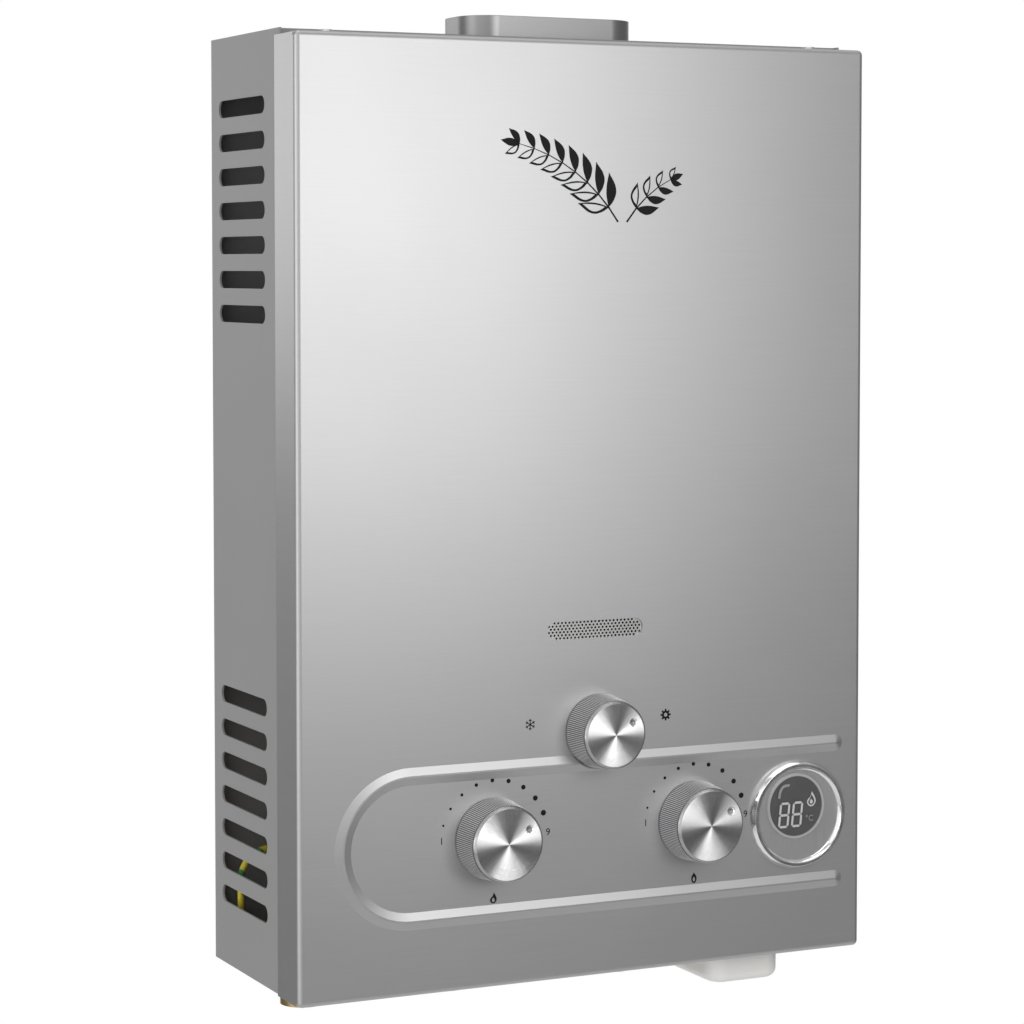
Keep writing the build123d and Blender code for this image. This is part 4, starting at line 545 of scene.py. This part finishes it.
def finished_knob(name):
    """A knob's ribbed skirt and spun cap, each with a finish set out round the knob's axis."""
    body = name + "_control"
    low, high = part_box(name + "_knob_cap")
    reach = (high.x - low.x) / 2
    centre = (low + high) / 2
    FINISH[name + "_face"] = spun_face(name + "_spun_face", centre, reach - CAP_CHAMFER,
                                       reach - DIMPLE_INSET)
    low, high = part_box(name + "_knob")
    base = max(high.x - centre.x, centre.x - low.x)
    FINISH[name + "_skirt"] = ribbed_skirt(name + "_ribbed_skirt", centre, high.y, base,
                                           low.y, reach + GROOVE_DEPTH)
    finished(name + "_knob", name + "_skirt", body, SKIRT_EDGE)
    finished(name + "_knob_cap", name + "_face", body, CAP_EDGE)


# Print on the front, in millimetres
INK_T = 0.06 * MM
PRINT_LIFT = 0.02 * MM

# Leaves: shares of a leaf's length and width
LEAF_ANGLE = math.radians(42.0)
LEAF_SHOULDER, LEAF_BELLY = 0.22, 0.52
LEAF_CORE = 0.62
LEAF_BEND = 0.25
CORE_START, CORE_END = 2.2, 2.6
LEAF_SHORTER, LEAF_NARROWER = 0.45, 0.35
TIP_LENGTH, TIP_WIDTH = 0.6, 0.7
STEM_NEAR, STEM_FAR, STEM_TAPER, STEM_LAP = 0.45, 0.35, 0.2, 0.4

# Branches: foot, lean in degrees, length, curl in degrees, pairs, leaf length and leaf width
BRANCHES = [
    ((13.0, 133.0), 126.0, 62.0, 44.0, 8, 16.0, 5.0),
    ((18.0, 133.0), 52.0, 30.0, -30.0, 4, 12.0, 4.2),
]

# Dots, figures and signs round the gas and water knobs
DOTS = 9
DOTS_R = 26.6
DOTS_FROM, DOTS_TO = math.radians(163.0), math.radians(21.5)
DOTS_ASIDE = 0.6
DOT_R, DOT_GROWTH = 0.55, 0.75
FIGURE_H = 3.2
FIGURE_PLACES = [("1", -25.7), ("9", 27.7)]
FIGURE_RISE = 0.6
SIGN_SIZE = 2.3
SIGN_DROP = 27.6

# Snow crystal and sun beside the season knob
CRYSTAL_LEFT, CRYSTAL_RISE = 35.4, 5.0
ARM_LENGTH, ARM_T = 2.6, 0.42
TWIG_PLACE, TWIG_LENGTH, TWIG_T = 1.5, 0.95, 0.34
TWIG_ANGLE = math.radians(50.0)
SUN_RIGHT = 34.7
SUN_R, SUN_HOLE_R = 1.9, 0.9
RAY_START, RAY_LENGTH, RAY_T = 1.7, 1.0, 0.85

# Display figures and signs, from the window's centre
DIGIT_W, DIGIT_H, DIGIT_T = 5.7, 12.2, 1.1
DIGIT_PLACES = (-6.7, 0.4)
DIGIT_DROP = 3.9
DIGIT_LEAN = 0.10
DIGIT_GAP = 0.15
LIT_FLAME = (8.2, 2.4)
LIT_FLAME_SIZE = 3.3
UNIT_PLACE, UNIT_H = (8.0, -6.4), 2.8
DEGREE_PLACE, DEGREE_R, DEGREE_HOLE_R = (5.7, -5.2), 0.6, 0.33

# Closed loops of (right, up, is_sharp) points
FLAME = [(0.1, 1.25, True), (0.62, 0.35, False), (0.72, -0.3, False), (0.0, -0.95, False),
         (-0.72, -0.3, False), (-0.5, 0.2, False), (-0.2, 0.45, False)]
FLAME_HEART = [(0.02, 0.25, True), (0.30, -0.3, False), (0.0, -0.68, False),
               (-0.30, -0.3, False)]
LIT_HEART = [(0.06, 0.80, True), (0.42, 0.15, False), (0.50, -0.3, False), (0.0, -0.73, False),
             (-0.50, -0.3, False), (-0.3, 0.08, False)]
LIT_SPARK = [(0.0, 0.15, True), (0.26, -0.3, False), (0.0, -0.55, False), (-0.26, -0.3, False)]
DROP = [(0.0, 1.25, True), (0.62, -0.05, False), (0.0, -0.95, False), (-0.62, -0.05, False)]
DROP_HEART = [(-0.02, 0.45, True), (0.28, -0.2, False), (0.0, -0.62, False),
              (-0.28, -0.2, False)]
TAP = [(-10.2, 4.4, True), (-9.4, 8.0, False), (-7.4, 10.4, False), (-3.6, 10.9, True),
       (-3.9, 9.7, True), (-6.9, 9.1, False), (-8.2, 7.4, False), (-8.9, 4.2, True)]


def flat_shape(name, loops, place, turn=0.0, size=1.0):
    """A thin flat shape that faces the front, from closed loops in millimetres."""
    line = bpy.data.curves.new(name, "CURVE")
    line.dimensions = "2D"
    line.fill_mode = "BOTH"
    line.resolution_u = 6
    for loop in loops:
        spline = line.splines.new("BEZIER")
        spline.bezier_points.add(len(loop) - 1)
        spline.use_cyclic_u = True
        for point, (right, up, sharp) in zip(spline.bezier_points, loop):
            point.co = (right, up, 0.0)
            point.handle_left_type = point.handle_right_type = "VECTOR" if sharp else "AUTO"
    piece = bpy.data.objects.new(name, line)
    bpy.context.scene.collection.objects.link(piece)
    return stood_up(piece, place, turn, size)


def figures(text, height, place):
    """Plain figures, centred on a place."""
    bpy.ops.object.select_all(action="DESELECT")
    bpy.ops.object.text_add()
    piece = bpy.context.object
    piece.data.body = text
    piece.data.align_x = "CENTER"
    piece.data.align_y = "CENTER"
    piece.data.resolution_u = 4
    return stood_up(piece, place, 0.0, height / 0.7)


def stood_up(piece, place, turn, size):
    """Makes a flat curve or text a thin mesh that faces the front at a place (x, y, z)."""
    activate(piece)
    bpy.ops.object.convert(target="MESH")
    piece = bpy.context.object
    upright = Matrix.Rotation(math.radians(90.0), 4, "X") @ Matrix.Rotation(turn, 4, "Z")
    piece.matrix_world = Matrix.Translation(place) @ upright @ Matrix.Scale(size * MM, 4)
    settle(piece)
    bpy.ops.object.mode_set(mode="EDIT")
    bpy.ops.mesh.select_all(action="SELECT")
    bpy.ops.mesh.remove_doubles(threshold=PRINT_DOUBLES)
    bpy.ops.mesh.normals_make_consistent(inside=False)
    bpy.ops.object.mode_set(mode="OBJECT")
    if piece.data.polygons and piece.data.polygons[0].normal.y > 0:
        piece.data.flip_normals()
    thick = piece.modifiers.new("thickness", "SOLIDIFY")
    thick.thickness = INK_T
    thick.offset = 1.0
    bpy.ops.object.modifier_apply(modifier=thick.name)
    return piece


def joined(name, pieces, finish):
    """Several flat shapes as one piece of the case."""
    bpy.ops.object.select_all(action="DESELECT")
    for piece in pieces:
        piece.select_set(True)
    bpy.context.view_layer.objects.active = pieces[0]
    bpy.ops.object.join()
    whole = bpy.context.object
    whole.name = name
    dress(whole, finish)
    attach(whole, "case")


def on_front(x, z):
    """A place on the front sheet, from millimetres."""
    return (x * MM, FRONT, z * MM)


def circle(radius):
    """A round loop in eight points."""
    turns = (index * math.pi / 4 for index in range(8))
    return [(radius * math.cos(turn), radius * math.sin(turn), False) for turn in turns]


def bar(x, z, angle, length, thick, start=0.0):
    """A straight bar that points away from a place and starts a little out from it."""
    half = thick / 2
    end = start + length
    loop = [(start, -half, True), (end, -half, True), (end, half, True), (start, half, True)]
    return flat_shape("bar", [loop], on_front(x, z), angle)


def leaf_loop(start, end, width, bend):
    """The outline of a pointed leaf that lies along the line from start to end."""
    span = end - start
    shoulder, belly = start + span * LEAF_SHOULDER, start + span * LEAF_BELLY
    return [(start, 0.0, True), (shoulder, width * 0.36 + bend * 0.7, False),
            (belly, width * 0.5 + bend, False), (end, 0.0, True),
            (belly, bend - width * 0.5, False),
            (shoulder, bend * 0.7 - width * 0.36, False)]


def leaf(base, angle, length, width, bend=0.0, core=0.0):
    """A pointed leaf that starts at base; core leaves it hollow, as a share of its width."""
    loops = [leaf_loop(0.0, length, width, bend)]
    if core > 0:
        inset = (1.0 - core) * width * 0.5
        start, end = inset * CORE_START, length - inset * CORE_END
        loops.append(leaf_loop(start, end, width * core, bend * 0.9))
    return flat_shape("leaf", loops, base, angle)


def branch(foot, lean, length, curl, pairs, leaf_length, leaf_width):
    """A curved stem with leaves in pairs that get smaller towards its tip; one side is hollow."""
    pieces = []
    x, z = foot
    angle = math.radians(lean)
    step = length / pairs
    for index in range(pairs):
        share = index / (pairs - 1)
        near, far = STEM_NEAR - STEM_TAPER * share, STEM_FAR - STEM_TAPER * share
        part = [(-STEM_LAP, -near, True), (step + STEM_LAP, -far, True),
                (step + STEM_LAP, far, True), (-STEM_LAP, near, True)]
        pieces.append(flat_shape("stem", [part], on_front(x, z), angle))
        x += step * math.cos(angle)
        z += step * math.sin(angle)
        angle += math.radians(curl) / pairs
        long = leaf_length * (1.0 - LEAF_SHORTER * share)
        wide = leaf_width * (1.0 - LEAF_NARROWER * share)
        for side in (-1, 1):
            core = LEAF_CORE if side > 0 else 0.0
            out = angle + side * LEAF_ANGLE
            bend = side * wide * LEAF_BEND
            pieces.append(leaf(on_front(x, z), out, long, wide, bend, core))
    tip = leaf(on_front(x, z), angle, leaf_length * TIP_LENGTH, leaf_width * TIP_WIDTH)
    return pieces + [tip]


def motif():
    """Leafy branches that part from one foot: a long one to the left, a short one to the right."""
    pieces = [piece for values in BRANCHES for piece in branch(*values)]
    joined("leaf_motif", pieces, "ink")


def dial_marks(name, centre, sign):
    """Growing dots over a knob, figures at both ends of its travel and a picture sign below."""
    pieces = []
    x, z = centre.x / MM, centre.z / MM
    for index in range(DOTS):
        share = index / (DOTS - 1)
        angle = DOTS_FROM + (DOTS_TO - DOTS_FROM) * share
        place = on_front(x + DOTS_ASIDE + DOTS_R * math.cos(angle), z + DOTS_R * math.sin(angle))
        pieces.append(flat_shape("dot", [circle(DOT_R + DOT_GROWTH * share)], place))
    for text, aside in FIGURE_PLACES:
        pieces.append(figures(text, FIGURE_H, on_front(x + aside, z + FIGURE_RISE)))
    pieces.append(flat_shape("sign", sign, on_front(x, z - SIGN_DROP), 0.0, SIGN_SIZE))
    joined(name, pieces, "ink")


def season_marks():
    """A snow crystal on the left of the season knob and a sun on its right."""
    pieces = []
    x, z = SEASON.x / MM - CRYSTAL_LEFT, SEASON.z / MM + CRYSTAL_RISE
    for index in range(6):
        angle = math.radians(60.0 * index + 30.0)
        pieces.append(bar(x, z, angle, ARM_LENGTH, ARM_T))
        twig_x = x + TWIG_PLACE * math.cos(angle)
        twig_z = z + TWIG_PLACE * math.sin(angle)
        for side in (-1, 1):
            turned = angle + side * TWIG_ANGLE
            pieces.append(bar(twig_x, twig_z, turned, TWIG_LENGTH, TWIG_T))
    x = SEASON.x / MM + SUN_RIGHT
    pieces.append(flat_shape("sun", [circle(SUN_R), circle(SUN_HOLE_R)], on_front(x, z)))
    for index in range(8):
        pieces.append(bar(x, z, math.radians(45.0 * index), RAY_LENGTH, RAY_T, RAY_START))
    joined("season_marks", pieces, "ink")


def digit(place):
    """The figure eight in seven bars, leaning a little to the right."""
    half_w, half_h, cut = DIGIT_W / 2, DIGIT_H / 2, DIGIT_T / 2
    gap = DIGIT_T * DIGIT_GAP
    wide = (DIGIT_W - DIGIT_T - 2 * gap) / 2
    tall = (half_h - cut - 2 * gap) / 2
    lying = [(-wide + cut, -cut), (wide - cut, -cut), (wide, 0.0),
             (wide - cut, cut), (-wide + cut, cut), (-wide, 0.0)]
    standing = [(-cut, -tall + cut), (0.0, -tall), (cut, -tall + cut),
                (cut, tall - cut), (0.0, tall), (-cut, tall - cut)]
    bars = [(lying, 0.0, up) for up in (-half_h + cut, 0.0, half_h - cut)]
    for side in (-1, 1):
        for part in (-1, 1):
            bars.append((standing, side * (half_w - cut), part * (half_h - cut) / 2))
    pieces = []
    for loop, aside, up in bars:
        moved = [(right + aside + DIGIT_LEAN * (rise + up), rise + up, True)
                 for right, rise in loop]
        pieces.append(flat_shape("bar", [moved], place))
    return pieces


def display_marks():
    """The lit figures, flame and tap line in the smoked window."""
    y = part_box("display_window")[0].y + PRINT_LIFT

    def in_window(right, up):
        return (WINDOW.x + right * MM, y, WINDOW.z + up * MM)

    lit = []
    for right in DIGIT_PLACES:
        lit += digit(in_window(right, -DIGIT_DROP))
    for loops in ([FLAME, LIT_HEART], [LIT_SPARK]):
        lit.append(flat_shape("flame", loops, in_window(*LIT_FLAME), 0.0, LIT_FLAME_SIZE))
    joined("display_figures", lit, "lit")

    degree = [circle(DEGREE_R), circle(DEGREE_HOLE_R)]
    dim = [figures("C", UNIT_H, in_window(*UNIT_PLACE)),
           flat_shape("degree", degree, in_window(*DEGREE_PLACE)),
           flat_shape("tap", [TAP], in_window(0.0, 0.0))]
    joined("display_signs", dim, "dim")


# Studio: the directions of the backdrop and of the lit panel, and how bright each part glows
BACKDROP = (0.43, 0.90)
BACKDROP_FROM, BACKDROP_TO = 0.72, 0.93
PANEL = (-0.78, -0.60, 0.17)
PANEL_FROM, PANEL_TO = 0.66, 0.92
PANEL_GLOW = 0.80
WALL_GLOW = 0.07
LEFT_GLOW = 0.03
UPPER_GLOW = 0.24
TOP_GLOW = 0.18
CEILING_GLOW = 1.0
FLOOR_GLOW = 0.22

FLOOR_R = 2.2
FLOOR_Z = -1.15

# Lights: name, place, aim, width, height and power
LIGHTS = [
    ("key_light", (0.155, -0.84, 0.200), (-0.08, -0.109, 0.10), 0.33, 0.58, 2.3),
    ("side_light", (-1.60, -0.25, 0.10), (-0.14, -0.05, 0.0), 0.9, 1.0, 4.5),
    ("edge_light", (-0.62, 1.02, 0.27), (-0.145, -0.10, 0.15), 0.5, 0.5, 1.3),
]

# Camera: lens and sensor in millimetres, place in metres, angles in degrees
LENS = 104.98
SENSOR = 36.0
FRAME_SHIFT = -0.09
CAMERA_PLACE = (-0.6223, -1.3236, 0.1123)
LOOK_DOWN = 2.939
LOOK_RIGHT = 25.592


def set_world():
    """A studio: a white backdrop behind the object, calmer walls, and a lit panel at the left."""
    world = bpy.data.worlds.new("studio")
    bpy.context.scene.world = world
    c = Coat(world)
    _, (x, y, z) = c.place("Generated")
    backdrop = (x * BACKDROP[0] + y * BACKDROP[1]).step(BACKDROP_FROM, BACKDROP_TO)
    panel = (x * PANEL[0] + y * PANEL[1] + z * PANEL[2]).step(PANEL_FROM, PANEL_TO)
    upper = UPPER_GLOW * z.step(-0.5, 0.3) + TOP_GLOW * z.step(0.2, 0.9)
    ceiling = CEILING_GLOW * z.step(0.82, 0.95)
    floor = FLOOR_GLOW * (z * -1.0).step(0.42, 0.70)
    left = LEFT_GLOW * x.step(0.7, 0.1)
    walls = WALL_GLOW + upper + ceiling + floor + left + PANEL_GLOW * panel
    strength = walls + (1.0 - walls) * backdrop
    glow = c.node("ShaderNodeBackground", None, {"Color": grey(1.0), "Strength": strength})
    c.node("ShaderNodeOutputWorld", None, {"Surface": glow})


def set_light(name, place, aim, width, height, power):
    """A soft box of light that points at a place."""
    lamp = bpy.data.lights.new(name, "AREA")
    lamp.shape = "RECTANGLE"
    lamp.size = width
    lamp.size_y = height
    lamp.energy = power
    box = bpy.data.objects.new(name, lamp)
    bpy.context.scene.collection.objects.link(box)
    box.location = place
    box.rotation_euler = (Vector(aim) - Vector(place)).to_track_quat("-Z", "Y").to_euler()
    box.visible_camera = False


def set_floor():
    """A plain pale floor, well below the object."""
    bpy.ops.mesh.primitive_circle_add(vertices=96, radius=FLOOR_R, fill_type="NGON",
                                      location=(0, 0, FLOOR_Z))
    floor = bpy.context.object
    floor.name = "floor"
    settle(floor)
    c = coat("pale_floor")
    point, _ = c.place()
    cloud = c.noise(point, 3.0, 2.0, 0.5)
    c.surface(c.mix(cloud, grey(0.80), grey(0.84)), 0.7)
    floor.data.materials.append(c.owner)


def set_camera():
    """The photograph's viewpoint: from the left, a little above the middle."""
    view = bpy.data.cameras.new("camera")
    view.lens = LENS
    view.sensor_width = SENSOR
    view.shift_y = FRAME_SHIFT
    camera = bpy.data.objects.new("camera", view)
    bpy.context.scene.collection.objects.link(camera)
    camera.location = CAMERA_PLACE
    camera.rotation_euler = (math.radians(90.0 - LOOK_DOWN), 0.0, math.radians(-LOOK_RIGHT))
    bpy.context.scene.camera = camera


for finish, names in NODE_FINISH.items():
    for name in names:
        dress(nodes[name], finish)
finished("front_cover", "steel", "case", COVER_EDGE, FRONT + PRINT_LIFT)
for values in CASE_PIECES:
    finished(*values)
for name in ("gas", "water", "season"):
    finished_knob(name)
for values in DISPLAY_PIECES:
    finished(*values)

motif()
dial_marks("gas_marks", GAS, [FLAME, FLAME_HEART])
dial_marks("water_marks", WATER, [DROP, DROP_HEART])
season_marks()
display_marks()

set_world()
set_floor()
set_camera()
for values in LIGHTS:
    set_light(*values)
bpy.context.scene.view_settings.view_transform = "Standard"
